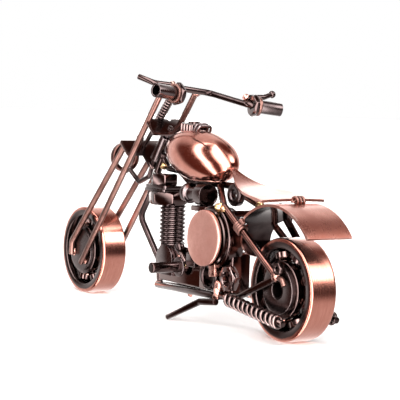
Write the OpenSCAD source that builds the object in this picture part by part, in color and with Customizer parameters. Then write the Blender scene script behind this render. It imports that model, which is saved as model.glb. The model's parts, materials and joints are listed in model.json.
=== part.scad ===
// Desk ornament: a chopper motorcycle welded up from ball bearings, rods, nuts and springs.
// Millimetres. +X is forward, +Y is the rider's left, +Z is up. The origin is on the ground,
// midway between the two axles.

/* [Wheels] */
// Distance between the two axles
wheel_base = 117; // [114:0.5:120]
// Outer diameter of the bearing that serves as a wheel
wheel_d = 30; // [29.5:0.25:31]
// Width of the bearing
wheel_w = 9; // [8.5:0.25:9]
// Diameter of the bearing's balls
ball_d = 4.76; // [4.5:0.02:4.8]
// Number of balls in each bearing
ball_count = 8; // [6:1:9]
// Diameter of the discs welded over the front hub
front_hub_d = 14.8; // [13:0.2:15.4]
// Diameter of the discs welded over the rear hub
rear_hub_d = 14; // [13:0.2:15.4]
// Diameter of the hole through the rear axle
rear_axle_hole_d = 5.4; // [3:0.2:7]

/* [Fork] */
// Lean of the fork back from vertical, in degrees
rake = 40; // [39:0.5:41]
// Diameter of the fork rods
fork_rod_d = 2; // [1.8:0.1:2]
// Distance of the fork rods from the centre line
fork_rod_y = 6.4; // [6.4:0.1:6.8]
// Diameter of the steering pin
pin_d = 2; // [1.8:0.1:2]
// Outer diameter of the frame's neck tube
neck_d = 4; // [3.6:0.1:4.2]
// Thickness of the two clamp plates
clamp_t = 1.2; // [0.8:0.1:1.4]
// Outer diameter of the headlight ring
headlight_d = 10.2; // [9:0.2:10.6]

/* [Handlebar] */
// Diameter of the handlebar rod
bar_d = 2.1; // [1.9:0.1:2.2]
// Tilt of the handlebar about the length of the motorcycle, left side up, in degrees
bar_roll = 6; // [0:1:8]
// Outer diameter of the grip tubes
grip_d = 4.2; // [3.8:0.1:4.4]
// Length of the grip tubes
grip_len = 8.3; // [7:0.1:8.5]
// Diameter of the lever rods
lever_d = 1.8; // [1.4:0.1:2]

/* [Frame] */
// Diameter of the frame rods
frame_rod_d = 2.1; // [1.9:0.1:2.2]
// Distance of the rear frame rods from the centre line
frame_y = 6.5; // [6.45:0.05:6.7]

/* [Tank and seat] */
// Length of the egg-shaped tank
tank_len = 34.8; // [32:0.2:35]
// Diameter of the tank at its middle
tank_d = 16.6; // [15:0.2:16.8]
// Slope of the tank, front end up, in degrees
tank_slope = 8.5; // [6:0.5:9]
// Height above the ground of the tank's open underside
tank_cut_z = 43.8; // [43.7:0.1:45]
// Thickness of the sheet metal
sheet_t = 0.8; // [0.6:0.1:1]
// Width of the rear fender
fender_w = 15.8; // [14:0.2:16]

/* [Engine] */
// Diameter of the threaded stud that stands for the cylinder
stud_d = 8.4; // [8:0.1:8.6]
// Pitch of the stud's ribs
stud_pitch = 1.3; // [1:0.05:1.5]
// Diameter of the copper drum cover
cover_d = 17; // [16:0.2:18]
// Diameter of the drum behind the cover
drum_d = 19.6; // [18:0.2:20]

/* [Exhausts and stand] */
// Outer diameter of the coil springs on the exhaust rods
coil_d = 4.2; // [4:0.05:4.3]
// Wire diameter of the exhaust coils
coil_wire_d = 1; // [0.8:0.05:1]
// Distance of the exhausts from the centre line
exhaust_y = 9.6; // [9.5:0.1:9.8]
// Diameter of the foot pegs
peg_d = 3.4; // [3:0.1:3.6]

/* [Hidden] */

$fn = 48;
bend_r = 2.2;           // bend radius of the rods' centre lines
wire_bend_r = 1;        // bend radius of thin wire
downtube_bend_r = 3;
bend_lap = 0.1;         // straight stretch that runs into a bend
bend_swell = 0.04;      // extra diameter of a bend, so that it covers the ends in it

copper = "#b8705c";
dark_copper = "#7a4a40";
nickel = "#2b2426";
grey = "#8d8789";

wheel_r = wheel_d / 2;
half_w = wheel_w / 2;
axle_x = wheel_base / 2;
front_axle_at = [axle_x, 0, wheel_r];
rear_axle_at = [-axle_x, 0, wheel_r];

// Ball bearing
ring_id = 24;                   // bore of the outer ring
inner_od = 17;                  // outside of the inner ring
axle_d = 10;                    // bore of the inner ring, and the axle in it
pitch_r = (ring_id + inner_od) / 4;
ball_play = 0.02;               // radial play of a ball in its grooves
groove_r = ball_d / 2 + ball_play;
pocket_r = ball_d / 2 + 0.05;
cage_t = 1;
cage_w = 5.8;
ring_chamfer = 0.6;
hub_t = 0.9;

// Fork. uv() turns a distance u up the rake and v across it into x and z.
function uv(u, v, y = 0) = [v * cos(rake) - u * sin(rake), y, v * sin(rake) + u * cos(rake)];
u_of_x0 = wheel_r * cos(rake) - axle_x * sin(rake);     // front axle's place along the rake
v_long = 49.9;                  // long rods, across the rake
v_front = 55.4;                 // tops of the short rods
v_axis = 45.6;                  // steering axis
u_lower = 23;                   // middle of the lower clamp
u_upper = 38;                   // middle of the upper clamp
u_bar = 52.2;                   // handlebar's middle
pin_play = 0.05;                // radial play of the steering pin in the neck tube
clamp_half_y = 7.2;
lower_clamp_half_y = 8;
clamp_front_v = 50.5;
clamp_rear_v = 43.4;
lower_front_v = 56.6;
lower_rear_v = 50.1;
tongue_r = 2;
neck_u = [25.4, 35.4];          // ends of the neck tube along the rake
spring_u = [33, 50];            // ends of the centre spring
centre_rod_play = 0.05;
centre_rod_d = 1.5;
spring_wire_d = 0.6;
spring_pitch = 1.1;
headlight_at = [38.8, 0, 48.3];
headlight_depth = 2.2;
headlight_wall = 1.5;
bracket_w = 3;
wire_d = 1.6;
screw_ball_d = 2.6;

// Handlebar, before it is tilted by bar_roll about its middle
bar_mid = uv(u_bar, v_long);
bar_kink = [-1.8, 10, -0.2];    // from the middle: where the bar turns back
bar_knee = [-20.8, 13.1, -3.4]; // where the bar turns out into the grip
grip_end = [-23.1, 23.3, -3.5];
nut_d = 6.9;
nut_t = 1.8;
ring_d = 6;
ring_t = 1;

// Frame
strut_top = [-31.8, frame_y, 37];
strut_foot = [-59.1, frame_y, 19.1];
rail_front = [13.8, 1.1, 7.8];
rail_rear = [-28.7, 6, 9.5];
tie_at = [-40.2, frame_y, 31.5];    // first ring of the wire wrap on the left strut
tie_step = [-0.9, 0, -0.59];
stay_t = 1;
backbone_path = [
    [14, 0, 49.4], [10.6, 0, 46.1], [3.6, 0, 45.7], [-1.8, 0, 42.7], [-26, 0, 42.7], [-32, 0, 43.4]
];

// Tank
tank_mid = [-9, 0, 50.9];
tank_steps = 24;
cap_at = [-3.9, 0, 57.6];
cap_w = 6.4;
cap_h = 3.4;
hoop_wire_d = 0.9;

// Seat outline, from the tip back: x, half width and height of the top
seat_line = [[-25.6, 0.6, 48.9], [-29, 1.8, 46.7], [-33.3, 3.9, 44.6], [-42, 8, 42.8], [-57.3, 11.3, 40.9]];

// Rings of wire round the seat's rear edge
tail_coil_at = [-58.4, -1.2, 40.6];
tail_coil_r = 1;
tail_coil_pitch = 1.15;
thin_wire_d = 0.8;

// Rear fender: a shallow arc over the wheel and a flap down in front of it
fender_mid = [-57.8, 17.2];
fender_r = 22.4;
fender_rear_a = 141;
fender_front_a = 46.5;
flap_low = [-39.6, 22.4];
flap_knee = [-38.6, 28.6];
flap_w = 10.4;                  // narrow enough to hang between the struts
flap_top_z = 33.2;              // where the fender narrows to the flap

// Engine
stud_at = [6.6, 0.4];
stud_z = [22, 34.6];
rib_depth = 0.7;
lower_nut_af = 11.3;
lower_nut_h = 4.2;
upper_nut_af = 8;
upper_nut_h = 3.7;
lower_plate_t = 0.9;
upper_plate_t = 1.2;
plate_z = stud_z[1] + lower_nut_h;      // underside of the two plates on the lower nut
base_plate_r = 5;
base_plate_t = 1.5;
carb_at = [-18.5, 3.4, 39.3];
hex_nut_at = [-35.2, 7.4, 15.6];
ring_nut_at = [-31.6, 3.35, 40.4];
drum_y = [1.6, 7.4, 8.6];               // back of the drum, its step and its front
peg_y = [3.5, 15.8];                    // ends of a foot peg
cover_at = [-26.6, 10.2, 27.1];
cover_tilt = 8;
cover_t = 1.2;

// Exhausts
exhaust_front = [-40, exhaust_y, 10.1];
exhaust_rear = [-67.4, exhaust_y, 6.7];
exhaust_foot = [-36.3, 8.1, 10.43];     // where each rod is welded to its swingarm
exhaust_lead = 1.1;                     // how far in front of its coil each rod bends
exhaust_rod_d = 2;
coil_turns = 12;

// Kickstand
stand_foot = [-8.6, 10.6, 0.6];  // end of the rod's centre line

// ---- shared shapes ----

// Straight round bar from a to b
module bar(a, b, d) {
    v = b - a;
    translate(a)
        rotate([0, acos(v[2] / norm(v)), atan2(v[1], v[0])])
            cylinder(d = d, h = norm(v));
}

function unit(v) = v / norm(v);

// Quarter-ring or less of round bar that turns from direction u at the point start towards w
module elbow(start, u, w, d, r) {
    m = unit(w - (w * u) * u);
    z = cross(-m, u);
    at = start + r * m;
    multmatrix([
        [-m[0], u[0], z[0], at[0]], [-m[1], u[1], z[1], at[1]], [-m[2], u[2], z[2], at[2]], [0, 0, 0, 1]
    ])
        rotate_extrude(angle = acos(u * w)) translate([r, 0]) circle(d = d);
}

// Round rod along a path, bent to radius r at each inner point
module bent_rod(path, d, r = bend_r) {
    last = len(path) - 1;
    dir = [for (i = [0 : last - 1]) unit(path[i + 1] - path[i])];
    cut = [for (i = [0 : last]) i == 0 || i == last ? 0 : r * tan(acos(dir[i - 1] * dir[i]) / 2)];
    for (i = [0 : last - 1]) bar(
        path[i] + (cut[i] - (i == 0 ? 0 : bend_lap)) * dir[i],
        path[i + 1] - (cut[i + 1] - (i == last - 1 ? 0 : bend_lap)) * dir[i],
        d
    );
    if (last > 1)
        for (i = [1 : last - 1])
            elbow(path[i] - cut[i] * dir[i - 1], dir[i - 1], dir[i], d + bend_swell, r);
}

// The same shape on the left and on the right
module both_sides() {
    children();
    mirror([0, 1, 0]) children();
}

// Moves children from the z axis to the y axis at a place on the centre line
module across(at) {
    translate(at) rotate([90, 0, 0]) children();
}

// Moves children to a place on the rake, their z axis up along the rake
module on_rake(u, v) {
    translate(uv(u, v)) rotate([0, -rake, 0]) children();
}

// Coil of round wire about the z axis, swept as one solid
module coil(mean_r, wire, pitch, turns, steps = 12, sides = 6) {
    n = floor(turns * steps);
    points = [for (i = [0 : n], k = [0 : sides - 1])
        let (a = i * 360 / steps, b = k * 360 / sides, r = mean_r + wire / 2 * cos(b))
            [r * cos(a), r * sin(a), i * pitch / steps + wire / 2 * sin(b)]];
    walls = [for (i = [0 : n - 1], k = [0 : sides - 1])
        let (k2 = (k + 1) % sides)
            [i * sides + k, i * sides + k2, (i + 1) * sides + k2, (i + 1) * sides + k]];
    caps = [[for (k = [sides - 1 : -1 : 0]) k], [for (k = [0 : sides - 1]) n * sides + k]];
    polyhedron(points, concat(walls, caps), convexity = 10);
}

// Hexagonal nut about the z axis with a round hole
module hex_nut_shape(af, h, hole_d) {
    difference() {
        cylinder(d = af / cos(30), h = h, $fn = 6);
        if (hole_d > 0) translate([0, 0, -1]) cylinder(d = hole_d, h = h + 2);
    }
}

// Washer or tube about the z axis
module tube(od, id, h) {
    difference() {
        cylinder(d = od, h = h);
        translate([0, 0, -1]) cylinder(d = id, h = h + 2);
    }
}

// ---- wheels ----

module outer_ring(at) {
    across(at) rotate_extrude() difference() {
        polygon([
            [ring_id / 2, -half_w], [wheel_r - ring_chamfer, -half_w], [wheel_r, -half_w + ring_chamfer],
            [wheel_r, half_w - ring_chamfer], [wheel_r - ring_chamfer, half_w], [ring_id / 2, half_w]
        ]);
        translate([pitch_r, 0]) circle(r = groove_r);
    }
}

module inner_ring(at) {
    across(at) rotate_extrude() difference() {
        translate([axle_d / 2, -half_w]) square([(inner_od - axle_d) / 2, wheel_w]);
        translate([pitch_r, 0]) circle(r = groove_r);
    }
}

module at_each_ball() {
    for (i = [0 : ball_count - 1]) rotate([0, 0, (i + 0.5) * 360 / ball_count])
        translate([pitch_r, 0, 0]) children();
}

module balls(at) {
    across(at) at_each_ball() sphere(d = ball_d);
}

module cage(at) {
    across(at) difference() {
        translate([0, 0, -cage_w / 2]) tube(2 * pitch_r + cage_t, 2 * pitch_r - cage_t, cage_w);
        at_each_ball() rotate([0, 90, 0]) cylinder(r = pocket_r, h = 2 * cage_t, center = true);
    }
}

module axle(at, hole_d) {
    across(at) translate([0, 0, -half_w]) if (hole_d > 0) tube(axle_d, hole_d, wheel_w);
        else cylinder(d = axle_d, h = wheel_w);
}

module hub_discs(at, d, hole_d) {
    both_sides() across(at) translate([0, 0, -half_w - hub_t]) if (hole_d > 0) tube(d, hole_d, hub_t);
        else cylinder(d = d, h = hub_t);
}

module front_outer_ring() { color(copper) outer_ring(front_axle_at); }
module front_inner_ring() { color(nickel) inner_ring(front_axle_at); }
module front_balls() { color(grey) balls(front_axle_at); }
module front_cage() { color(nickel) cage(front_axle_at); }
module front_axle() { color(grey) axle(front_axle_at, 0); }
module front_hub_discs() { color(grey) hub_discs(front_axle_at, front_hub_d, 0); }
module rear_outer_ring() { color(copper) outer_ring(rear_axle_at); }
module rear_inner_ring() { color(nickel) inner_ring(rear_axle_at); }
module rear_balls() { color(grey) balls(rear_axle_at); }
module rear_cage() { color(nickel) cage(rear_axle_at); }
module rear_axle() { color(grey) axle(rear_axle_at, rear_axle_hole_d); }
module rear_hub_discs() { color(grey) hub_discs(rear_axle_at, rear_hub_d, rear_axle_hole_d); }

// ---- fork ----

// Long rods from the hub up to the handlebar; the left one is longer, under the tilted bar
module long_fork_rods() {
    color(copper) for (side = [-1, 1]) bar(
        uv(u_of_x0 - 2, v_long, side * fork_rod_y),
        uv(u_bar - bar_d / 2 - 0.1 + side * fork_rod_y * tan(bar_roll) * cos(rake),
            v_long, side * fork_rod_y),
        fork_rod_d
    );
}

// Short rods from the hub, cranked forward, up to the underside of the lower clamp
module short_fork_rods() {
    color(copper) for (side = [-1, 1]) bent_rod([
        [axle_x + 4.7, side * fork_rod_y, wheel_r - 2.1],
        [axle_x + 4.4, side * fork_rod_y, wheel_r + 2.6],
        uv(u_lower - clamp_t / 2, v_front, side * fork_rod_y)
    ], fork_rod_d);
}

module upper_clamp() {
    color(nickel) on_rake(u_upper, 0) difference() {
        translate([clamp_rear_v, -clamp_half_y, -clamp_t / 2])
            cube([clamp_front_v - clamp_rear_v, 2 * clamp_half_y, clamp_t]);
        translate([clamp_front_v, -1.5, 0]) rotate([0, 0, 45]) cube([1.5, 1.5, 2 * clamp_t], center = true);
        for (side = [-1, 1]) translate([v_long, side * fork_rod_y, -clamp_t])
            cylinder(d = fork_rod_d, h = 2 * clamp_t);
        translate([v_axis, 0, -clamp_t]) cylinder(d = pin_d, h = 2 * clamp_t);
    }
}

module lower_clamp() {
    color(nickel) on_rake(u_lower, 0) difference() {
        union() {
            translate([lower_rear_v, -lower_clamp_half_y, -clamp_t / 2])
                cube([lower_front_v - lower_rear_v, 2 * lower_clamp_half_y, clamp_t]);
            translate([v_axis, -tongue_r, -clamp_t / 2])
                cube([lower_rear_v - v_axis + 1, 2 * tongue_r, clamp_t]);
            translate([v_axis, 0, -clamp_t / 2]) cylinder(r = tongue_r, h = clamp_t);
        }
        for (side = [-1, 1]) translate([v_long, side * fork_rod_y, -clamp_t])
            cylinder(d = fork_rod_d, h = 2 * clamp_t);
        translate([v_axis, 0, -clamp_t]) cylinder(d = pin_d, h = 2 * clamp_t);
    }
}

module steering_pin() {
    color(grey) on_rake(u_lower - clamp_t / 2 - 0.6, v_axis)
        cylinder(d = pin_d, h = u_upper - u_lower + clamp_t + 1.2);
}

centre_foot = uv(u_lower + clamp_t / 2, 54);
centre_top = uv(u_bar + 0.3, 51.75);
function on_centre(u) = centre_foot
    + (centre_top - centre_foot) * (u - u_lower - clamp_t / 2) / (u_bar + 0.3 - u_lower - clamp_t / 2);

module centre_rod() {
    color(grey) bar(centre_foot, centre_top, centre_rod_d);
}

module centre_spring() {
    low = on_centre(spring_u[0]);
    v = on_centre(spring_u[1]) - low;
    color(grey) translate(low) rotate([0, acos(v[2] / norm(v)) * sign(v[0]), 0])
        coil(centre_rod_d / 2 + centre_rod_play + spring_wire_d / 2, spring_wire_d, spring_pitch,
            floor(norm(v) / spring_pitch));
}

module headlight_ring() {
    color(dark_copper) translate(headlight_at) rotate([0, 90, 0]) translate([0, 0, -headlight_depth / 2])
        tube(headlight_d, headlight_d - 2 * headlight_wall, headlight_depth);
}

// Flat strip from the lower clamp's front edge to the top of the headlight ring
module headlight_bracket() {
    start = uv(u_lower + 0.3, lower_front_v);
    end = headlight_at + [-headlight_depth / 2, 0, headlight_d / 2 - headlight_wall / 2];
    color(nickel) rotate([90, 0, 0]) linear_extrude(bracket_w, center = true) polygon([
        [start[0], start[2] - 0.4], [end[0], end[2] - 0.4],
        [end[0], end[2] + 0.4], [start[0], start[2] + 0.4]
    ]);
}

module headlight_wire() {
    color(nickel) bent_rod([
        headlight_at + [-0.3, 0, -headlight_d / 2 + headlight_wall / 2 - 0.5],
        [35.2, 0, 44.4], [29, 0, 40.4], [22.6, 0, 42.7], uv(u_lower - clamp_t / 2 - 0.6, v_axis)
    ], wire_d);
}

module clamp_screw() {
    color(nickel) on_rake(u_lower + clamp_t / 2, 55) translate([0, 2.2, 0]) {
        cylinder(d = 1.4, h = 2);
        translate([0, 0, 2.4]) sphere(d = screw_ball_d);
    }
}

// ---- handlebar ----

// Places children in the tilted handlebar's own frame, whose origin is the bar's middle
module on_bar() {
    translate(bar_mid) rotate([bar_roll, 0, 0]) children();
}

function side_of(p, side) = [p[0], side * p[1], p[2]];
function along(a, b, t) = a + (b - a) * t / norm(b - a);

module handlebar() {
    color(nickel) on_bar() bent_rod([
        along(side_of(bar_knee, -1), side_of(grip_end, -1), 5), side_of(bar_knee, -1),
        side_of(bar_kink, -1), bar_kink, bar_knee, along(bar_knee, grip_end, 5)
    ], bar_d);
}

// A tube along the grip's line, from t0 to t1 past the knee
module grip_tube(side, t0, t1, od, id) {
    a = along(side_of(bar_knee, side), side_of(grip_end, side), t0);
    b = along(side_of(bar_knee, side), side_of(grip_end, side), t1);
    difference() {
        bar(a, b, od);
        bar(a - (b - a), b + (b - a), id);
    }
}

grip_from = norm(grip_end - bar_knee) - grip_len;

module grips() {
    color(grey) on_bar() for (side = [-1, 1])
        grip_tube(side, grip_from, grip_from + grip_len, grip_d, bar_d + 0.1);
}

module bar_nuts() {
    color(nickel) on_bar() for (side = [-1, 1])
        grip_tube(side, grip_from - nut_t, grip_from, nut_d, bar_d);
}

module bar_rings() {
    color(copper) on_bar() for (side = [-1, 1])
        grip_tube(side, grip_from + 0.05, grip_from + 0.05 + ring_t, ring_d, grip_d);
}

// Each lever's points, from the handlebar's knee; both start on their nut
lever_root = [2.9, 1.1, 2.6];
left_lever_bend = [3.2, 7.6, 2.4];
left_lever_tip = [7.6, 10.8, 3.9];
right_lever_bend = [3.4, 7.2, 3.4];
right_lever_tip = [4.3, 10.9, 4.8];
lever_ball_d = 2.5;

module lever_left() {
    color(copper) on_bar() bent_rod([
        bar_knee + lever_root, bar_knee + left_lever_bend, bar_knee + left_lever_tip
    ], lever_d);
}

module lever_right() {
    color(nickel) on_bar() {
        bent_rod([
            side_of(bar_knee + lever_root, -1), side_of(bar_knee + right_lever_bend, -1),
            side_of(bar_knee + right_lever_tip, -1)
        ], lever_d);
        translate(side_of(bar_knee + right_lever_tip, -1)) sphere(d = lever_ball_d);
    }
}

// ---- frame ----

module neck_tube() {
    color(grey) on_rake(neck_u[0], v_axis)
        tube(neck_d, pin_d + 2 * pin_play, neck_u[1] - neck_u[0]);
}

module downtube() {
    color(nickel) bent_rod([
        uv(30, v_axis - neck_d / 2 - frame_rod_d / 2 + 0.3), [22.2, 0, 36],
        [27.4, 0, 29.1], [14.9, 0, 16], [13.8, 0, 7.6]
    ], frame_rod_d, downtube_bend_r);
}

module backbone() {
    color(nickel) bent_rod(backbone_path, frame_rod_d);
}

module lower_rails() {
    color(grey) both_sides() bar(rail_front, rail_rear, frame_rod_d);
}

module swingarms() {
    color(nickel) both_sides()
        bent_rod([
            rail_rear + [-0.8, 0.3, 0], [-41.6, frame_y, 11.2], strut_foot + [0, 0, -0.6]
        ], frame_rod_d);
}

module upper_struts() {
    color(dark_copper) both_sides() bent_rod([[-22, 1.6, 42.4], strut_top, strut_foot], frame_rod_d);
}

module cross_rod() {
    end = strut_top + [-3.2, -0.8, -2.1];
    color(nickel) bar(end, side_of(end, -1), frame_rod_d);
}

// Strip on the right side, from under the seat past the fender's edge to the rear hub
module fender_stay() {
    color(nickel) translate([0, -fender_w / 2 - 0.1, 0]) rotate([90, 0, 0]) linear_extrude(stay_t)
        polygon([[-38, 36.8], [-39.6, 38.6], [-58.6, 20.6], [-57, 18.8]]);
}

// Wire wrap that ties the fender's front edge to the left strut
module fender_tie() {
    color(copper) {
        bar([-40.9, frame_y, 31.6], [-42.4, frame_y, 33.6], wire_d);
        for (i = [0 : 2]) translate(tie_at + i * tie_step) rotate([0, 57, 0]) rotate_extrude()
            translate([(frame_rod_d + thin_wire_d) / 2, 0]) circle(d = thin_wire_d, $fn = 24);
    }
}

// ---- tank, seat and fender ----

function egg(len, d, n) = [for (i = [0 : n]) let (a = 180 * i / n) [d / 2 * sin(a), -len / 2 * cos(a)]];

// The tank's egg, drawn in by inset all round
module tank_form(inset) {
    translate(tank_mid) rotate([0, 90 - tank_slope, 0])
        rotate_extrude() polygon(egg(tank_len - 2 * inset, tank_d - 2 * inset, tank_steps));
}

module tank_shell() {
    color(copper) difference() {
        tank_form(0);
        tank_form(sheet_t);
        translate([-40, -20, tank_cut_z - 20]) cube([60, 40, 20]);
    }
}

module filler_cap() {
    color(dark_copper) difference() {
        translate(cap_at) rotate([0, -4, 0]) {
            translate([-cap_w / 2, -cap_w / 2, 0]) cube([cap_w, cap_w, cap_h]);
            translate([0, 0, cap_h - 0.1]) cylinder(d = 4, h = 0.7);
        }
        tank_form(0);
    }
}

// Two wire hoops lying back from the cap along the tank's crest
module cap_hoop() {
    color(grey) for (i = [0 : 1]) bent_rod([
        [-7.6 - 1.6 * i, -2.6, 58.4], [-8.4 - 1.8 * i, -2.2, 60.9 - 0.5 * i],
        [-8.4 - 1.8 * i, 2.2, 60.9 - 0.5 * i], [-7.6 - 1.6 * i, 2.6, 58.4]
    ], hoop_wire_d, wire_bend_r);
}

module seat() {
    top = [for (p = seat_line) [p[0], p[2]]];
    under = [for (i = [len(seat_line) - 1 : -1 : 0]) [seat_line[i][0], seat_line[i][2] - sheet_t]];
    left = [for (p = seat_line) [p[0], p[1]]];
    right = [for (i = [len(seat_line) - 1 : -1 : 0]) [seat_line[i][0], -seat_line[i][1]]];
    color(copper) intersection() {
        rotate([90, 0, 0]) linear_extrude(30, center = true) polygon(concat(top, under));
        translate([0, 0, 35]) linear_extrude(20) polygon(concat(left, right));
    }
}

function arc(mid, r, a0, a1, n) = [for (i = [0 : n])
    let (a = a0 + (a1 - a0) * i / n) [mid[0] + r * cos(a), mid[1] + r * sin(a)]];

module rear_fender() {
    outer = concat(arc(fender_mid, fender_r, fender_rear_a, fender_front_a, 18), [flap_knee, flap_low]);
    inner = concat(
        [flap_low + [-sheet_t, 0], flap_knee + [-sheet_t, 0]],
        arc(fender_mid, fender_r - sheet_t, fender_front_a, fender_rear_a, 18)
    );
    color(copper) intersection() {
        rotate([90, 0, 0]) linear_extrude(fender_w, center = true) polygon(concat(outer, inner));
        union() {
            translate([-80, -fender_w, flap_top_z]) cube([80, 2 * fender_w, 20]);
            translate([-80, -fender_w, flap_low[1] - 1]) cube([28, 2 * fender_w, 20]);
            translate([-60, -flap_w / 2, flap_low[1] + 3]) cube([40, flap_w, 20]);
            translate([-60, 0, flap_low[1] + flap_w / 2]) rotate([0, 90, 0]) cylinder(d = flap_w, h = 40);
        }
    }
}

// Three rings of wire round the seat's rear edge
module tail_coil() {
    color(copper) for (i = [-1, 0, 1])
        translate(tail_coil_at + [0, i * tail_coil_pitch, 0]) rotate([90, 0, 12])
            rotate_extrude() translate([tail_coil_r, 0]) circle(d = thin_wire_d, $fn = 24);
}

// ---- engine ----

module cylinder_stud() {
    ribs = floor((stud_z[1] - stud_z[0] - 1) / stud_pitch);
    rib = stud_pitch / 2;
    color(nickel) translate([stud_at[0], stud_at[1], 0]) rotate_extrude() polygon(concat(
        [[0, stud_z[0]], [stud_d / 2 - rib_depth, stud_z[0]]],
        [for (i = [0 : ribs - 1], k = [0 : 1])
            [stud_d / 2 - (k == 0 ? 0 : rib_depth), stud_z[0] + rib * (2 * i + 1 + k)]],
        [[stud_d / 2 - rib_depth, stud_z[1]], [0, stud_z[1]]]
    ));
}

module lower_head_nut() {
    color(nickel) translate([7.6, 1.6, stud_z[1]]) rotate([0, 0, 12])
        hex_nut_shape(lower_nut_af, lower_nut_h, 0);
}

module head_plates() {
    color(grey) {
        translate([3, -3, plate_z]) cube([12, 9.4, lower_plate_t]);
        translate([2, -2, plate_z + lower_plate_t]) cube([12, 8.6, upper_plate_t]);
    }
}

module upper_head_nut() {
    color(nickel) translate([8.4, 2.8, plate_z + lower_plate_t + upper_plate_t])
        hex_nut_shape(upper_nut_af, upper_nut_h, 0);
}

// Upright plate with a round top, beside the foot of the cylinder
module base_plate() {
    color(grey) across([4, 5, 0]) {
        translate([-base_plate_r, 12.4, 0]) cube([2 * base_plate_r, 4.6, base_plate_t]);
        translate([0, 17, 0]) cylinder(r = base_plate_r, h = base_plate_t);
    }
}

module crankcase() {
    color(nickel) translate([-17, -3.5, 10.2]) cube([26, 7, 11.8]);
}

module engine_block() {
    color(nickel) difference() {
        translate([-35, -1.5, 10.4]) cube([18, 6.5, 13]);
        across([cover_at[0], 10, cover_at[2]]) cylinder(d = drum_d, h = 8.5);
    }
}

module drum() {
    color(nickel) translate([cover_at[0], 0, cover_at[2]]) rotate([-90, 0, 0]) {
        translate([0, 0, drum_y[0]]) cylinder(d = drum_d, h = drum_y[1] - drum_y[0]);
        translate([0, 0, drum_y[1]]) cylinder(d = cover_d + 0.6, h = drum_y[2] - drum_y[1]);
    }
}

module drum_cover() {
    color(copper) translate(cover_at - [0, 0.2, 0]) rotate([-90, 0, 0]) rotate([-3, cover_tilt - 4, 0])
        translate([0, 0, -cover_t / 2]) cylinder(d = cover_d, h = cover_t);
}

// Spool beside the backbone, its cup open to the rear
module carburettor() {
    color(nickel) translate(carb_at) rotate([0, 90, 0]) difference() {
        union() {
            cylinder(d = 7, h = 4.2);
            translate([0, 0, 4]) cylinder(d = 4.4, h = 6.2);
            translate([0, 0, 10]) cylinder(d = 6.4, h = 1.8);
        }
        translate([0, 0, -1]) cylinder(d = 5.2, h = 3.8);
    }
}

module ring_nut() {
    color(grey) across(ring_nut_at) tube(7, 2.8, 2.3);
}

module hex_nut() {
    color(nickel) across(hex_nut_at) hex_nut_shape(7.3, 2.4, 4.4);
}

module foot_pegs() {
    color(nickel) both_sides() bar([-6, peg_y[0], 16], [-6, peg_y[1], 16], peg_d);
}

// ---- exhausts and stand ----

module exhaust_rods() {
    color(nickel) both_sides() bent_rod([
        exhaust_foot, along(exhaust_front, exhaust_rear, -exhaust_lead), exhaust_rear
    ], exhaust_rod_d);
}

module exhaust_coils() {
    v = exhaust_rear - exhaust_front;
    color(grey) both_sides() translate(exhaust_front) rotate([0, -acos(v[2] / norm(v)), 0])
        coil((coil_d - coil_wire_d) / 2, coil_wire_d, norm(v) / coil_turns, coil_turns - 1);
}

// Bent rod on the left, cut flat where it stands on the ground
module kickstand() {
    color(nickel) difference() {
        bent_rod([[-30, 7.2, 8], [-21.5, 7.5, 7], stand_foot], frame_rod_d);
        translate(stand_foot - [10, 10, 10 + stand_foot[2]]) cube([20, 20, 10]);
    }
}

front_outer_ring();
front_inner_ring();
front_balls();
front_cage();
front_axle();
front_hub_discs();
rear_outer_ring();
rear_inner_ring();
rear_balls();
rear_cage();
rear_axle();
rear_hub_discs();
long_fork_rods();
short_fork_rods();
upper_clamp();
lower_clamp();
steering_pin();
centre_rod();
centre_spring();
headlight_ring();
headlight_bracket();
headlight_wire();
clamp_screw();
handlebar();
grips();
bar_nuts();
bar_rings();
lever_left();
lever_right();
neck_tube();
downtube();
backbone();
lower_rails();
swingarms();
upper_struts();
cross_rod();
fender_stay();
fender_tie();
tank_shell();
filler_cap();
cap_hoop();
seat();
rear_fender();
tail_coil();
cylinder_stud();
lower_head_nut();
upper_head_nut();
head_plates();
base_plate();
crankcase();
engine_block();
drum();
drum_cover();
carburettor();
ring_nut();
hex_nut();
foot_pegs();
exhaust_rods();
exhaust_coils();
kickstand();
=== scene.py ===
import json
import math

import bmesh
import bpy
import numpy as np
from mathutils import Matrix, Vector, noise


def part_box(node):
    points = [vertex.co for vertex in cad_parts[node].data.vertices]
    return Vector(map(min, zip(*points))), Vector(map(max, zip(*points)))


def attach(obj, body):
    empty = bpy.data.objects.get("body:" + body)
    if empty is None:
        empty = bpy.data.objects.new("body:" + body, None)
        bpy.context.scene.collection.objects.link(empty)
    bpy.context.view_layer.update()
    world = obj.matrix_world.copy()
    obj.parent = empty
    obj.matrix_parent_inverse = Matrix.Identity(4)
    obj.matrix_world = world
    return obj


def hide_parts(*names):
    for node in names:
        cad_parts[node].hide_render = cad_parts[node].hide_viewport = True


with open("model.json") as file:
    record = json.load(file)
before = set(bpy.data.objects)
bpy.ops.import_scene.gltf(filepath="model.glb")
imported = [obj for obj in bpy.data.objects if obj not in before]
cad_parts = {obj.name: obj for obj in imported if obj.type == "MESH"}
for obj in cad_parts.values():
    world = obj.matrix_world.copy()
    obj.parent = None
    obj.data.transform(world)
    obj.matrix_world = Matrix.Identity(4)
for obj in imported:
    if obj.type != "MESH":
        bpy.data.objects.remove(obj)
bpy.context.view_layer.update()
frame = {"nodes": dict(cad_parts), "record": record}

MM = 0.001               # the shapes below are worked out in millimetres


# ---- vectors

def vec(*p):
    return np.array(p, float)


AHEAD, LEFT, UP = vec(1, 0, 0), vec(0, 1, 0), vec(0, 0, 1)


def unit(v):
    return v / np.linalg.norm(v)


def mirrored(p):
    """The same point on the other side of the centre line."""
    return vec(p[0], -p[1], p[2])


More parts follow.
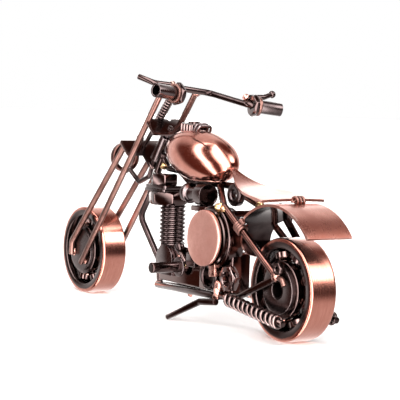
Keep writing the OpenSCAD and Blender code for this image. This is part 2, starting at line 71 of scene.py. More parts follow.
def upright(x, z, h):
    """Where a point of a plate goes when the plate stands along the centre line, h to the left of it."""
    return vec(x, h, z)


def basis(axis, hint=None):
    """Two unit vectors square to axis and to each other."""
    axis = unit(axis)
    if hint is None:
        hint = UP if abs(axis[2]) < 0.9 else AHEAD
    a = unit(hint - axis * (hint @ axis))
    return a, np.cross(axis, a)


def node_mm(name):
    """A CAD node's lowest and highest corners, in millimetres."""
    low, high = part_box(name)
    return np.array(low) / MM, np.array(high) / MM


def middle_mm(name):
    low, high = node_mm(name)
    return (low + high) / 2


# ---- shapes

class Shape:
    """A mesh put together from simpler ones, in millimetres."""

    def __init__(self, part=None):
        self.verts, self.faces, self.mats = [], [], []
        if part is not None:
            self.add(part)

    def add(self, part, mat=0):
        verts, faces = part
        start = len(self.verts)
        self.verts += [tuple(v) for v in verts]
        self.faces += [tuple(start + i for i in f) for f in faces]
        self.mats += [mat] * len(faces)
        return self

    def add_both(self, part, mat=0):
        """Adds a part and its mirror image across the centre line."""
        return self.add(part, mat).add(flipped(part), mat)

    def build(self, name, metals, node=None, body="frame", slot=None, sharp=40):
        """Makes a piece that rides on a body and stands in for a CAD node if one is named. Its slot, the
        named one or its first metal's, is looked up but not kept."""
        metals = metals if isinstance(metals, list) else [metals]
        mesh = bpy.data.meshes.new(name)
        mesh.from_pydata([tuple(c * MM for c in v) for v in self.verts], [], self.faces)
        for metal in metals:
            mesh.materials.append(metal)
        mesh.polygons.foreach_set("material_index", self.mats)
        bm = bmesh.new()
        bm.from_mesh(mesh)
        bmesh.ops.recalc_face_normals(bm, faces=bm.faces)
        bm.to_mesh(mesh)
        bm.free()
        mesh.shade_smooth()
        mesh.set_sharp_from_angle(angle=math.radians(sharp))
        mesh.update()
        obj = bpy.data.objects.new(name, mesh)
        bpy.context.scene.collection.objects.link(obj)
        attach(obj, body)
        slot or METAL_SLOT[metals[0].name]
        if node:
            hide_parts(node)
        return obj


def flipped(part):
    """A part's mirror image across the centre line."""
    verts, faces = part
    return [mirrored(v) for v in verts], [f[::-1] for f in faces]


def skin(rings, around, closed=False):
    """Faces between rings of points, each with as many around, and over the ends if it isn't closed."""
    faces = []
    for i in range(rings if closed else rings - 1):
        a, b = i * around, (i + 1) % rings * around
        faces += [(a + k, a + (k + 1) % around, b + (k + 1) % around, b + k) for k in range(around)]
    if not closed:
        faces += [tuple(range(around))[::-1], tuple((rings - 1) * around + k for k in range(around))]
    return faces


def fillet(path, radius, steps=7):
    """A path with each inner corner rounded to radius."""
    path = [np.array(p, float) for p in path]
    out = [path[0]]
    for a, b, c in zip(path, path[1:], path[2:]):
        u, w = unit(b - a), unit(c - b)
        turn = math.acos(max(-1, min(1, u @ w)))
        if turn < 1e-3:
            out.append(b)
            continue
        cut = min(radius * math.tan(turn / 2), 0.48 * np.linalg.norm(b - a), 0.48 * np.linalg.norm(c - b))
        r = cut / math.tan(turn / 2)
        m = unit(w - (w @ u) * u)
        start = b - cut * u
        for k in range(steps + 1):
            t = turn * k / steps
            out.append(start + r * (m * (1 - math.cos(t)) + u * math.sin(t)))
    out.append(path[-1])
    return out


def tube(path, radius, sides=18, edge=0.18, closed=False):
    """A round bar along a path, its ends square with a small rounded edge."""
    pts = [np.array(p, float) for p in path]
    radii = [radius] * len(pts)
    if not closed:
        head, tail = unit(pts[1] - pts[0]), unit(pts[-2] - pts[-1])
        pts = ([pts[0], pts[0] + 0.3 * edge * head, pts[0] + edge * head] + pts[1:-1]
               + [pts[-1] + edge * tail, pts[-1] + 0.3 * edge * tail, pts[-1]])
        rounding = [radius - edge, radius - 0.3 * edge, radius]
        radii = rounding + radii[1:-1] + rounding[::-1]
    n = len(pts)
    after = [pts[(i + 1) % n] - pts[i] for i in range(n)]
    if not closed:
        after[-1] = after[-2]
    tangents = [unit(after[i]) if i == 0 and not closed else unit(unit(after[i - 1]) + unit(after[i]))
                for i in range(n)]
    a, _ = basis(tangents[0])
    verts = []
    for p, t, r in zip(pts, tangents, radii):
        a = unit(a - t * (a @ t))
        b = np.cross(t, a)
        verts += [p + r * (a * math.cos(q) + b * math.sin(q))
                  for q in np.linspace(0, 2 * math.pi, sides, endpoint=False)]
    return verts, skin(n, sides, closed)


def coil_path(start, end, radius, turns, per_turn=18, phase=0.0):
    """The centre line of a coil round the line from start to end."""
    axis = end - start
    a, b = basis(axis)
    n = int(turns * per_turn)
    return [start + axis * i / n + radius * (a * math.cos(q) + b * math.sin(q))
            for i, q in ((i, phase + 2 * math.pi * turns * i / n) for i in range(n + 1))]


def lathe(profile, at, axis, segments=72, closed=False):
    """A profile of (radius, height) points turned round an axis. An open one that starts or ends at
    radius 0 is closed at its pole."""
    a, b = basis(axis)
    axis = unit(axis)
    verts, faces, rows = [], [], []
    for r, h in profile:
        if r < 1e-6:
            rows.append([len(verts)] * segments)
            verts.append(at + axis * h)
            continue
        rows.append(list(range(len(verts), len(verts) + segments)))
        verts += [at + axis * h + r * (a * math.cos(q) + b * math.sin(q))
                  for q in np.linspace(0, 2 * math.pi, segments, endpoint=False)]
    pairs = list(zip(rows, rows[1:])) + ([(rows[-1], rows[0])] if closed else [])
    for low, high in pairs:
        for k in range(segments):
            j = (k + 1) % segments
            f = []
            for i in (low[k], low[j], high[j], high[k]):
                if i not in f:
                    f.append(i)
            if len(f) > 2:
                faces.append(tuple(f))
    return verts, faces


def rounded(points, radius, closed=True):
    """A flat outline or profile with its corners rounded."""
    steps = 3
    pts = [np.array(p, float) for p in points]
    out = []
    n = len(pts)
    for i, b in enumerate(pts):
        if not closed and i in (0, n - 1):
            out.append(tuple(b))
            continue
        a, c = pts[i - 1], pts[(i + 1) % n]
        ra = min(radius, 0.45 * np.linalg.norm(b - a))
        rc = min(radius, 0.45 * np.linalg.norm(c - b))
        p, q = b + ra * unit(a - b), b + rc * unit(c - b)
        for k in range(steps + 1):
            t = k / steps
            out.append(tuple((1 - t) ** 2 * p + 2 * t * (1 - t) * b + t ** 2 * q))
    return out


def rectangle(x0, x1, y0, y1):
    return [(x0, y0), (x1, y0), (x1, y1), (x0, y1)]


def ring_profile(inner, outer, low, high, edge=0.2):
    """The closed profile of a washer or tube."""
    return rounded([(inner, low), (outer, low), (outer, high), (inner, high)], edge)


def ball(centre, radius):
    rings, segments = 20, 32
    profile = [(radius * math.sin(t), -radius * math.cos(t)) for t in np.linspace(0, math.pi, rings + 1)]
    return lathe(profile, np.array(centre, float), LEFT, segments)


def nut(af, height, hole, at, axis, turn=0.0, chamfer=0.5, hint=None):
    """A hexagonal nut with rounded-off corners, a countersunk round hole and side faces that stay flat."""
    a, b = basis(axis, hint)
    axis = unit(axis)
    segments = 96
    angles = np.linspace(0, 2 * math.pi, segments, endpoint=False)
    wall = [af / 2 / math.cos((q + math.pi / 6) % (math.pi / 3) - math.pi / 6) for q in angles]
    flat = af / 2 - 0.1

    def ring(radii, heights):
        return [at + axis * h + r * (a * math.cos(q + turn) + b * math.sin(q + turn))
                for q, r, h in zip(angles, radii, heights)]

    drop = [chamfer * (w - flat) / (af / 2 / math.cos(math.pi / 6) - flat) for w in wall]
    levels = []
    for side in (0, 1):
        sign = 1 if side == 0 else -1
        face = height * side
        part = [
            ring([hole / 2 + 0.25] * segments, [face] * segments),
            ring([flat] * segments, [face] * segments),
            ring([w - 0.06 for w in wall], [face + sign * d for d in drop]),
            ring(wall, [face + sign * (d + 0.08) for d in drop]),
        ]
        if hole:
            part.insert(0, ring([hole / 2] * segments, [face + sign * 0.25] * segments))
        levels += part if side == 0 else part[::-1]
    return [v for level in levels for v in level], skin(len(levels), segments, closed=hole > 0)


def plate(outline, low, high, place, edge=0.15):
    """A flat outline made solid from low to high. place(x, y, h) gives each point's place."""
    outline = [tuple(p) for p in outline]
    area = sum(x0 * y1 - x1 * y0 for (x0, y0), (x1, y1) in zip(outline, outline[1:] + outline[:1]))
    if area < 0:
        outline = outline[::-1]
    n = len(outline)
    pts = np.array(outline)
    before, after = np.roll(pts, 1, axis=0), np.roll(pts, -1, axis=0)
    inward = []
    for a, b, c in zip(before, pts, after):
        u, w = unit(b - a), unit(c - b)
        m = vec(-u[1] - w[1], u[0] + w[0])
        inward.append(m / max(0.3, 0.5 * (m @ m)) if m @ m > 1e-9 else vec(-u[1], u[0]))
    rings = [(edge, low), (0.3 * edge, low + 0.3 * edge), (0, low + edge),
             (0, high - edge), (0.3 * edge, high - 0.3 * edge), (edge, high)]
    verts = [place(*(pts[k] + inset * inward[k]), h) for inset, h in rings for k in range(n)]
    return verts, skin(len(rings), n)


def sheet(grid_top, grid_under):
    """A closed sheet from two grids of points of the same size, with a rim between them."""
    rows, cols = len(grid_top), len(grid_top[0])
    verts = [p for row in grid_top for p in row] + [p for row in grid_under for p in row]
    half = rows * cols
    faces = []
    for i in range(rows - 1):
        for k in range(cols - 1):
            a, b, c, d = i * cols + k, i * cols + k + 1, (i + 1) * cols + k + 1, (i + 1) * cols + k
            faces += [(a, d, c, b), (half + a, half + b, half + c, half + d)]
    rim = ([(0, k) for k in range(cols)] + [(i, cols - 1) for i in range(1, rows)]
           + [(rows - 1, k) for k in range(cols - 2, -1, -1)] + [(i, 0) for i in range(rows - 2, 0, -1)])
    ids = [i * cols + k for i, k in rim]
    faces += [(a, b, half + b, half + a) for a, b in zip(ids, ids[1:] + ids[:1])]
    return verts, faces


def weld(at, size, seed, stretch=(1, 1, 1)):
    """A small uneven bead of weld metal."""
    bm = bmesh.new()
    bmesh.ops.create_icosphere(bm, subdivisions=3, radius=1)
    verts = []
    for v in bm.verts:
        d = np.array(v.co)
        grow = 1 + 0.28 * noise.noise(Vector(d * 1.7 + seed * 7.3)) + 0.1 * noise.noise(Vector(d * 4 + seed))
        verts.append(np.array(at, float) + d * grow * size * np.array(stretch))
    faces = [tuple(v.index for v in f.verts) for f in bm.faces]
    bm.free()
    return verts, faces


# ---- materials

class Nodes:
    """Short calls for building the node tree of a material or the world."""

    def __init__(self, owner, output="ShaderNodeOutputMaterial"):
        self.owner = owner
        owner.use_nodes = True
        self.tree = owner.node_tree
        self.tree.nodes.clear()
        self.out = self.new(output)

    def new(self, kind, inputs=None, **values):
        """A node with some of its values set, its inputs given numbers, colours or other nodes' outputs."""
        node = self.tree.nodes.new(kind)
        for key, value in values.items():
            setattr(node, key, value)
        for key, value in (inputs or {}).items():
            socket = node.inputs[key]
            if isinstance(value, bpy.types.NodeSocket):
                self.tree.links.new(value, socket)
            else:
                socket.default_value = (*value, 1) if socket.type == "RGBA" else value
        return node

    def noise(self, scale, detail=4.0, rough=0.55, stretch=(1, 1, 1)):
        """Noise over object coordinates, stretched along each axis."""
        coords = self.new("ShaderNodeTexCoord").outputs["Object"]
        place = self.new("ShaderNodeMapping", {"Vector": coords, "Scale": stretch}).outputs["Vector"]
        inputs = {"Vector": place, "Scale": scale, "Detail": detail, "Roughness": rough}
        return self.new("ShaderNodeTexNoise", inputs).outputs["Fac"]

    def ramp(self, fac, stops):
        node = self.new("ShaderNodeValToRGB", {"Fac": fac})
        ramp = node.color_ramp
        while len(ramp.elements) < len(stops):
            ramp.elements.new(0.5)
        for element, (place, colour) in zip(ramp.elements, stops):
            element.position = place
            element.color = (*colour, 1)
        return node.outputs["Color"]

    def spread(self, fac, low, high, from_low=0.3, from_high=0.7, interpolation="LINEAR"):
        """The range from from_low to from_high spread over low to high, and held there outside it."""
        inputs = {"Value": fac, "From Min": from_low, "From Max": from_high, "To Min": low, "To Max": high}
        return self.new("ShaderNodeMapRange", inputs, interpolation_type=interpolation).outputs["Result"]

    def mix(self, fac, a, b):
        return self.new("ShaderNodeMix", {0: fac, 6: a, 7: b}, data_type="RGBA").outputs[2]

    def math(self, operation, *values):
        return self.new("ShaderNodeMath", dict(enumerate(values)), operation=operation).outputs[0]

    def vector(self, operation, look, by):
        return self.new("ShaderNodeVectorMath", {0: look, 1: tuple(by)}, operation=operation).outputs

    def bump(self, height, distance, strength, under=None):
        """A bump, over another one where there is one."""
        inputs = {"Height": height, "Distance": distance, "Strength": strength}
        if under is not None:
            inputs["Normal"] = under
        return self.new("ShaderNodeBump", inputs).outputs["Normal"]

    def principled(self, **inputs):
        """Finishes a material with the one shader, its inputs' names written with _ for a space."""
        inputs = {key.replace("_", " "): value for key, value in inputs.items()}
        shader = self.new("ShaderNodeBsdfPrincipled", inputs)
        self.tree.links.new(shader.outputs["BSDF"], self.out.inputs["Surface"])
        return self.owner

    def metal(self, colour, roughness, normal):
        return self.principled(Metallic=1, Base_Color=colour, Roughness=roughness, Normal=normal)


def plated(name, light, dark, rough=(0.12, 0.26), grain=(1, 1, 1), grain_scale=900, grain_depth=2e-6,
           patina=0.0, worn=None):
    """Plated metal: cloudy tone between light and dark, a fine grain along one direction, faint dings, and
    where worn is given, a brighter tone along the edges."""
    n = Nodes(bpy.data.materials.new(name))
    cloud, fine, dings = n.noise(90, 5, 0.6), n.noise(grain_scale, 6, 0.65, grain), n.noise(260, 3, 0.5)
    tone = n.mix(n.spread(cloud, 0, 1, 0.32, 0.68), light, dark)
    tone = n.mix(n.spread(fine, 0, 0.35, 0.35, 0.75), tone, dark)
    if patina:
        spots = n.noise(420, 8, 0.75)
        tone = n.mix(n.spread(spots, 0, patina, 0.58, 0.72), tone, tuple(0.25 * c for c in dark))
    if worn:
        edge = n.new("ShaderNodeNewGeometry").outputs["Pointiness"]
        tone = n.mix(n.spread(edge, 0, 0.85, 0.52, 0.6), tone, worn)
    roughness = n.math("ADD", n.spread(cloud, *rough), n.spread(fine, 0, 0.08))
    return n.metal(tone, roughness, n.bump(fine, grain_depth, 0.8, n.bump(dings, 3.5e-5, 0.35)))


def tread_metal(name, centre, light, dark, shade):
    """Copper brushed round the wheel, going dark towards the bore where the polishing didn't reach."""
    n = Nodes(bpy.data.materials.new(name))
    coords = n.new("ShaderNodeTexCoord").outputs["Object"]
    from_axle = n.vector("SUBTRACT", coords, centre * MM)[0]
    x, _, z = n.new("ShaderNodeSeparateXYZ", {0: from_axle}).outputs
    radius = n.math("SQRT", n.math("ADD", n.math("MULTIPLY", x, x), n.math("MULTIPLY", z, z)))
    lines = n.noise(1, 6, 0.7, (160, 9000, 160))
    cloud = n.noise(120, 5, 0.6)
    tone = n.mix(n.spread(lines, 0.0, 0.7, 0.35, 0.7), light, dark)
    tone = n.mix(n.spread(cloud, 0.0, 0.45, 0.4, 0.7), tone, dark)
    edge = n.math("ADD", radius, n.math("MULTIPLY", n.noise(500, 4, 0.6), 0.0006))
    bare = n.spread(edge, 0.0, 1.0, 0.01395, 0.0144)
    tone = n.mix(bare, shade, tone)
    roughness = n.math("ADD", n.spread(lines, 0.15, 0.27), n.spread(cloud, -0.03, 0.05))
    return n.metal(tone, roughness, n.bump(lines, 3e-6, 0.8))


def weld_metal(name, light, dark):
    """Brassy weld bead with soot in its hollows."""
    n = Nodes(bpy.data.materials.new(name))
    blotch = n.noise(700, 6, 0.65)
    tone = n.ramp(blotch, [(0.36, dark), (0.5, light), (0.7, tuple(min(1, 1.3 * c) for c in light))])
    return n.metal(tone, n.spread(blotch, 0.18, 0.42), n.bump(n.noise(900, 4, 0.6), 6e-5, 0.7))


def floor_material():
    n = Nodes(bpy.data.materials.new("table_top"))
    tone = n.ramp(n.noise(9, 3), [(0.3, (0.93, 0.92, 0.92)), (0.7, (0.96, 0.955, 0.955))])
    return n.principled(Roughness=0.75, Specular_IOR_Level=0.2, Base_Color=tone)


COPPER, COPPER_DARK = (0.47, 0.22, 0.175), (0.3, 0.1, 0.07)
PALE_COPPER, PALE_COPPER_DARK = (0.66, 0.385, 0.33), (0.42, 0.2, 0.165)
ROD, ROD_DARK = (0.23, 0.132, 0.112), (0.1, 0.048, 0.04)
BLACK, BLACK_DARK = (0.06, 0.044, 0.043), (0.015, 0.009, 0.009)
GREY, GREY_DARK = (0.125, 0.1, 0.1), (0.05, 0.037, 0.037)
BARE_EDGE = (0.5, 0.33, 0.29)

polished_copper = plated("polished_copper", COPPER, COPPER_DARK, (0.09, 0.17), patina=0.25)
brushed_copper = plated("brushed_copper", COPPER, COPPER_DARK, (0.2, 0.3), (0.06, 1.4, 1), 1500, 4e-6, 0.2,
                        BARE_EDGE)
satin_copper = plated("satin_copper", PALE_COPPER, PALE_COPPER_DARK, (0.3, 0.42), (1, 1, 1), 1200, 3e-6, 0.15)
rod_copper = plated("rod_copper", ROD, ROD_DARK, (0.28, 0.4), patina=0.3)
dark_copper = plated("dark_copper", (0.15, 0.075, 0.063), (0.05, 0.022, 0.018), (0.12, 0.22), patina=0.4)
black_nickel = plated("black_nickel", BLACK, BLACK_DARK, (0.06, 0.13), worn=(0.13, 0.088, 0.083))
grey_nickel = plated("grey_nickel", GREY, GREY_DARK, (0.14, 0.24), patina=0.3)
dark_nickel = plated("dark_nickel", (0.09, 0.068, 0.066), (0.03, 0.02, 0.02), (0.14, 0.26))
spring_nickel = plated("spring_nickel", (0.2, 0.15, 0.145), (0.06, 0.038, 0.036), (0.08, 0.16), patina=0.35)
ball_steel = plated("ball_steel", (0.24, 0.14, 0.12), (0.1, 0.05, 0.04), (0.06, 0.12))
brass_weld = weld_metal("brass_weld", (0.5, 0.34, 0.17), (0.07, 0.035, 0.03))
pink_weld = weld_metal("pink_weld", (0.38, 0.2, 0.165), (0.07, 0.03, 0.025))
# near-black metal used as painted shade inside hollows: the tank's underside and the rear axle's bore
painted_hollow_shade = plated("painted_hollow_shade", (0.03, 0.02, 0.02), (0.012, 0.008, 0.008), (0.25, 0.4))

SLOT_METAL = {"black_nickel": black_nickel, "grey_nickel": grey_nickel, "dark_copper": dark_copper,
              "brushed_copper": brushed_copper, "polished_copper": polished_copper, "copper_rod": rod_copper,
              "steel_ball": ball_steel}
METAL_SLOT = {metal.name: slot for slot, metal in SLOT_METAL.items()}
METAL_SLOT |= {"brass_weld": "copper_rod", "pink_weld": "copper_rod"}


# ---- wheels

BALL_R, BALLS = 2.38, 8
PITCH_R = 10.25          # from the axle to the balls' centres
GROOVE_R = 2.4           # of the groove's section, a little more than the balls'
BORE_R = 5.0             # where the inner race sits on the axle
HUB_T = 0.9


def on_pitch(centre, turn):
    """The point of the balls' circle at a share of a whole turn."""
    return centre + PITCH_R * vec(math.cos(2 * math.pi * turn), 0, math.sin(2 * math.pi * turn))


def groove(radius_at, low, high):
    """Points down a bearing race's groove, where the race's own wall is at radius_at."""
    reach = math.acos(abs(radius_at - PITCH_R) / GROOVE_R)
    side = 1 if radius_at > PITCH_R else -1
    return [(PITCH_R + side * GROOVE_R * math.cos(q), GROOVE_R * math.sin(q))
            for q in np.linspace(low * reach, high * reach, 12)]


def ribbon_cage(centre):
    """Two pressed wavy rings round the balls, riveted between them."""
    shape = Shape()
    inner, outer, thick = 9.5, 11.0, 0.32
    web, pocket_rise, pocket_r = 0.16, 2.62, 2.85
    steps = 288
    for side in (1, -1):
        verts = []
        for i in range(steps):
            q = 2 * math.pi * i / steps
            off = (q * BALLS / (2 * math.pi)) % 1 - 0.5
            arc = off * 2 * math.pi * PITCH_R / BALLS
            rise = web + (pocket_rise * math.sqrt(1 - (arc / pocket_r) ** 2) if abs(arc) < pocket_r else 0)
            for r, h in ((inner, rise), (outer, rise), (outer, rise + thick), (inner, rise + thick)):
                verts.append(centre + vec(r * math.cos(q), side * h, r * math.sin(q)))
        faces = skin(steps, 4, closed=True)
        shape.add((verts, faces if side > 0 else [f[::-1] for f in faces]))
        rivet = [(0, 0.95), (0.25, 0.92), (0.45, 0.78), (0.52, 0.6), (0.52, 0.4)]
        for i in range(BALLS):
            shape.add(lathe(rivet, on_pitch(centre, i / BALLS), side * LEFT, 16))
    return shape


def wheel(end, hub_r, hub_hole):
    """One bearing wheel. The races, balls and hub follow the CAD nodes of that end."""
    centre = middle_mm(end + "_outer_ring")
    low, high = node_mm(end + "_outer_ring")
    wheel_r, half = (high[2] - low[2]) / 2, (high[1] - low[1]) / 2
    fixed = "fork" if end == "front" else "frame"
    tread = tread_metal(end + "_tread", centre, COPPER, COPPER_DARK, BLACK)

    edge = [(12.0, 4.15), (12.08, 4.38), (12.3, half), (14.3, half), (14.62, 4.42), (14.86, 4.2),
            (14.97, 3.9), (wheel_r - 0.03, 0.75 * half), (wheel_r, 0.3 * half)]
    outer = [(r, -h) for r, h in edge] + edge[::-1] + groove(edge[0][0], 1, -1)
    Shape(lathe(outer, centre, LEFT, 144, closed=True)).build(
        end + "_outer_ring_piece", tread, end + "_outer_ring", end + "_wheel", "brushed_copper", 50)

    edge = [(BORE_R, 4.3), (BORE_R + 0.2, half), (8.15, half), (8.38, 4.42), (8.5, 4.15)]
    inner = [(r, -h) for r, h in edge] + groove(edge[-1][0], -1, 1) + edge[::-1]
    Shape(lathe(inner, centre, LEFT, 120, closed=True)).build(
        end + "_inner_ring_piece", black_nickel, end + "_inner_ring", fixed, sharp=50)

    balls = Shape()
    for i in range(BALLS):
        balls.add(ball(on_pitch(centre, (i + 0.5) / BALLS), BALL_R))
    balls.build(end + "_balls_piece", ball_steel, end + "_balls", end + "_ball_set")
    cage = ribbon_cage(centre)
    cage.build(end + "_cage_piece", black_nickel, end + "_cage", end + "_ball_set")

    hub = Shape()
    root, face = half - 0.2, half + HUB_T
    for side in (LEFT, -LEFT):
        if hub_hole:
            profile = rounded([(hub_hole, root), (hub_r, root), (hub_r, face), (hub_hole, face)], 0.18)
        else:
            edge = rounded([(hub_r, half), (hub_r, face), (hub_r - 1, face)], 0.2, closed=False)
            profile = [(hub_r, root)] + edge + [(hub_r * k, face) for k in (0.6, 0.3, 0)]
        hub.add(lathe(profile, centre, side, 96, closed=hub_hole > 0))
    hub.build(end + "_hub_piece", grey_nickel, end + "_hub_discs", fixed)

    if hub_hole:
        bore = hub_hole - 0.45
        profile = rounded([(bore, -face), (BORE_R, -half - 0.1), (BORE_R, half + 0.1), (bore, face)], 0.1)
        # the axle's bore is painted near black: painted shade inside the hole
        Shape(lathe(profile, centre, LEFT, closed=True)).build(
            end + "_axle_piece", painted_hollow_shade, end + "_axle", fixed, "black_nickel")


wheel("front", 7.4, 0)
wheel("rear", 7.0, 2.7)


# ---- fork

RAKE = math.radians(40)
FORK_ROD_Y, FORK_ROD_R = 6.4, 1.0
# distances across the rake to the long rods, the short rods and the steering axis
V_LONG, V_SHORT, V_AXIS = 49.9, 55.4, 45.6
# distances up the rake to the lower clamp, the upper clamp and the handlebar
U_LOWER, U_UPPER, U_BAR = 23.0, 38.0, 52.2
CLAMP_T = 1.2
BAR_D, BAR_ROLL = 2.1, math.radians(6)
along_rake = vec(-math.sin(RAKE), 0, math.cos(RAKE))
across_rake = vec(math.cos(RAKE), 0, math.sin(RAKE))
front_axle = middle_mm("front_outer_ring")


def uv(u, v, y=0.0):
    """A point by its distances up the rake and across it."""
    return along_rake * u + across_rake * v + vec(0, y, 0)


def on_clamp(u):
    """Where the points of a clamp plate go when it is at u up the rake."""
    return lambda v, y, h: uv(u + h, v, y)


def fork_rods():
    foot = front_axle @ along_rake - 2
    shape = Shape()
    for side in (1, -1):
        top = U_BAR - BAR_D / 2 - 0.1 + side * FORK_ROD_Y * math.tan(BAR_ROLL) * math.cos(RAKE)
        y = side * FORK_ROD_Y
        shape.add(tube([uv(foot, V_LONG, y), uv(top, V_LONG, y)], FORK_ROD_R, 24))
    shape.build("long_rods", rod_copper, "long_fork_rods", "fork")
    path = fillet([front_axle + vec(4.7, FORK_ROD_Y, -2.1), front_axle + vec(4.4, FORK_ROD_Y, 2.6),
                   uv(U_LOWER - CLAMP_T / 2, V_SHORT, FORK_ROD_Y)], 2.4)
    short = Shape().add_both(tube(path, FORK_ROD_R, 24))
    short.build("short_rods", rod_copper, "short_fork_rods", "fork")
    welds = Shape()
    beads = ((uv(foot + 1.4, V_LONG, FORK_ROD_Y - 0.9), 0.9, 1, (1.5, 0.5, 1.5)),
             (front_axle + vec(4.7, FORK_ROD_Y - 0.9, -1.2), 0.9, 2, (1.1, 0.5, 1.6)),
             (uv(U_UPPER - 0.7, V_LONG - 0.8, FORK_ROD_Y - 0.6), 0.75, 3),
             (uv(U_LOWER + 0.6, V_LONG + 0.7, FORK_ROD_Y - 0.2), 0.8, 4),
             (uv(U_LOWER - 0.8, V_SHORT - 0.2, FORK_ROD_Y - 0.3), 1.0, 5))
    for bead in beads:
        welds.add_both(weld(*bead))
    welds.build("fork_welds", pink_weld, body="fork")


def clamps():
    half, front, rear = 7.2, 50.5, 43.4
    notch = [(front, -2.5), (front - 1.0, -1.5), (front, -0.5)]
    upper = [(rear, -half), (front, -half)] + notch + [(front, half), (rear, half)]
    tongue = [(V_AXIS - 2 * math.sin(q), 2 * math.cos(q)) for q in np.linspace(0, math.pi, 13)]
    half, front, rear = 8, 56.6, 50.1
    lower = [(rear, -half), (front, -half), (front, half), (rear, half), (rear, 2)] + tongue + [(rear, -2)]
    for name, outline, u in (("upper_clamp", upper, U_UPPER), ("lower_clamp", lower, U_LOWER)):
        clamp = Shape(plate(outline, -CLAMP_T / 2, CLAMP_T / 2, on_clamp(u)))
        clamp.build(name + "_plate", black_nickel, name, "fork")
    reach = CLAMP_T / 2 + 0.6
    pin = Shape(tube([uv(U_LOWER - reach, V_AXIS), uv(U_UPPER + reach, V_AXIS)], 1.0, 24))
    pin.build("pin", grey_nickel, "steering_pin", "fork")
    screw = uv(U_LOWER + CLAMP_T / 2, 55, 2.2)
    head = Shape(lathe([(1.1, -0.1), (1.1, 0.2), (0.7, 0.5), (0.7, 2.2)], screw, along_rake, 24))
    head.add(ball(screw + 2.4 * along_rake, 1.3))
    head.build("ball_screw", black_nickel, "clamp_screw", "fork")


def centre_spring():
    foot, top = uv(U_LOWER + CLAMP_T / 2, 54), uv(U_BAR + 0.3, 51.75)
    rod = Shape(tube([foot, top], 0.75, 18, 0.1))
    rod.build("centre_rod_piece", grey_nickel, "centre_rod", "fork")
    line = unit(top - foot)
    coil = Shape(tube(coil_path(foot + line * 9.4, foot + line * 26.6, 1.1, 15.5, 16), 0.3, 10, 0.08))
    coil.build("centre_coil", spring_nickel, "centre_spring", "fork", "grey_nickel")


def headlight():
    centre = middle_mm("headlight_ring")
    low, high = node_mm("headlight_ring")
    depth, outer = high[0] - low[0], (high[2] - low[2]) / 2
    profile = ring_profile(outer - 1.5, outer, -depth / 2, depth / 2, 0.35)
    bezel = Shape(lathe(profile, centre, AHEAD, 96, closed=True))
    bezel.build("headlight_bezel", dark_copper, "headlight_ring", "fork")
    (x0, _, z0), (x1, _, z1) = uv(U_LOWER + 0.3, 56.4), centre + vec(-depth / 2 + 0.3, 0, outer - 0.7)
    outline = rounded([(x0, z0 - 0.4), (x1, z1 - 0.4), (x1, z1 + 0.4), (x0, z0 + 0.4)], 0.1)
    strip = Shape(plate(outline, -1.5, 1.5, upright, 0.1))
    strip.build("headlight_strip", black_nickel, "headlight_bracket", "fork")
    path = fillet([centre + vec(-0.3, 0, -outer + 0.2), (35.2, 0, 44.4), (29, 0, 40.4), (22.6, 0, 42.7),
                   uv(U_LOWER - CLAMP_T / 2 - 0.6, V_AXIS)], 1.6)
    wire = Shape(tube(path, 0.8, 18, 0.1))
    wire.build("headlight_wire_piece", black_nickel, "headlight_wire", "fork")


fork_rods()
clamps()
centre_spring()
headlight()


# ---- handlebar

bar_mid = uv(U_BAR, V_LONG)
BAR_KINK, BAR_KNEE, GRIP_END = vec(-1.8, 10, -0.2), vec(-20.8, 13.1, -3.4), vec(-23.1, 23.3, -3.5)
GRIP_LEN, LEVER_R = 8.3, 0.9
grip_line = unit(GRIP_END - BAR_KNEE)


def on_bar(part):
    """Tilts a part made about the handlebar's middle and puts it in place."""
    verts, faces = part
    turn = np.array(Matrix.Rotation(BAR_ROLL, 3, "X"))
    return [bar_mid + turn @ np.array(v) for v in verts], faces


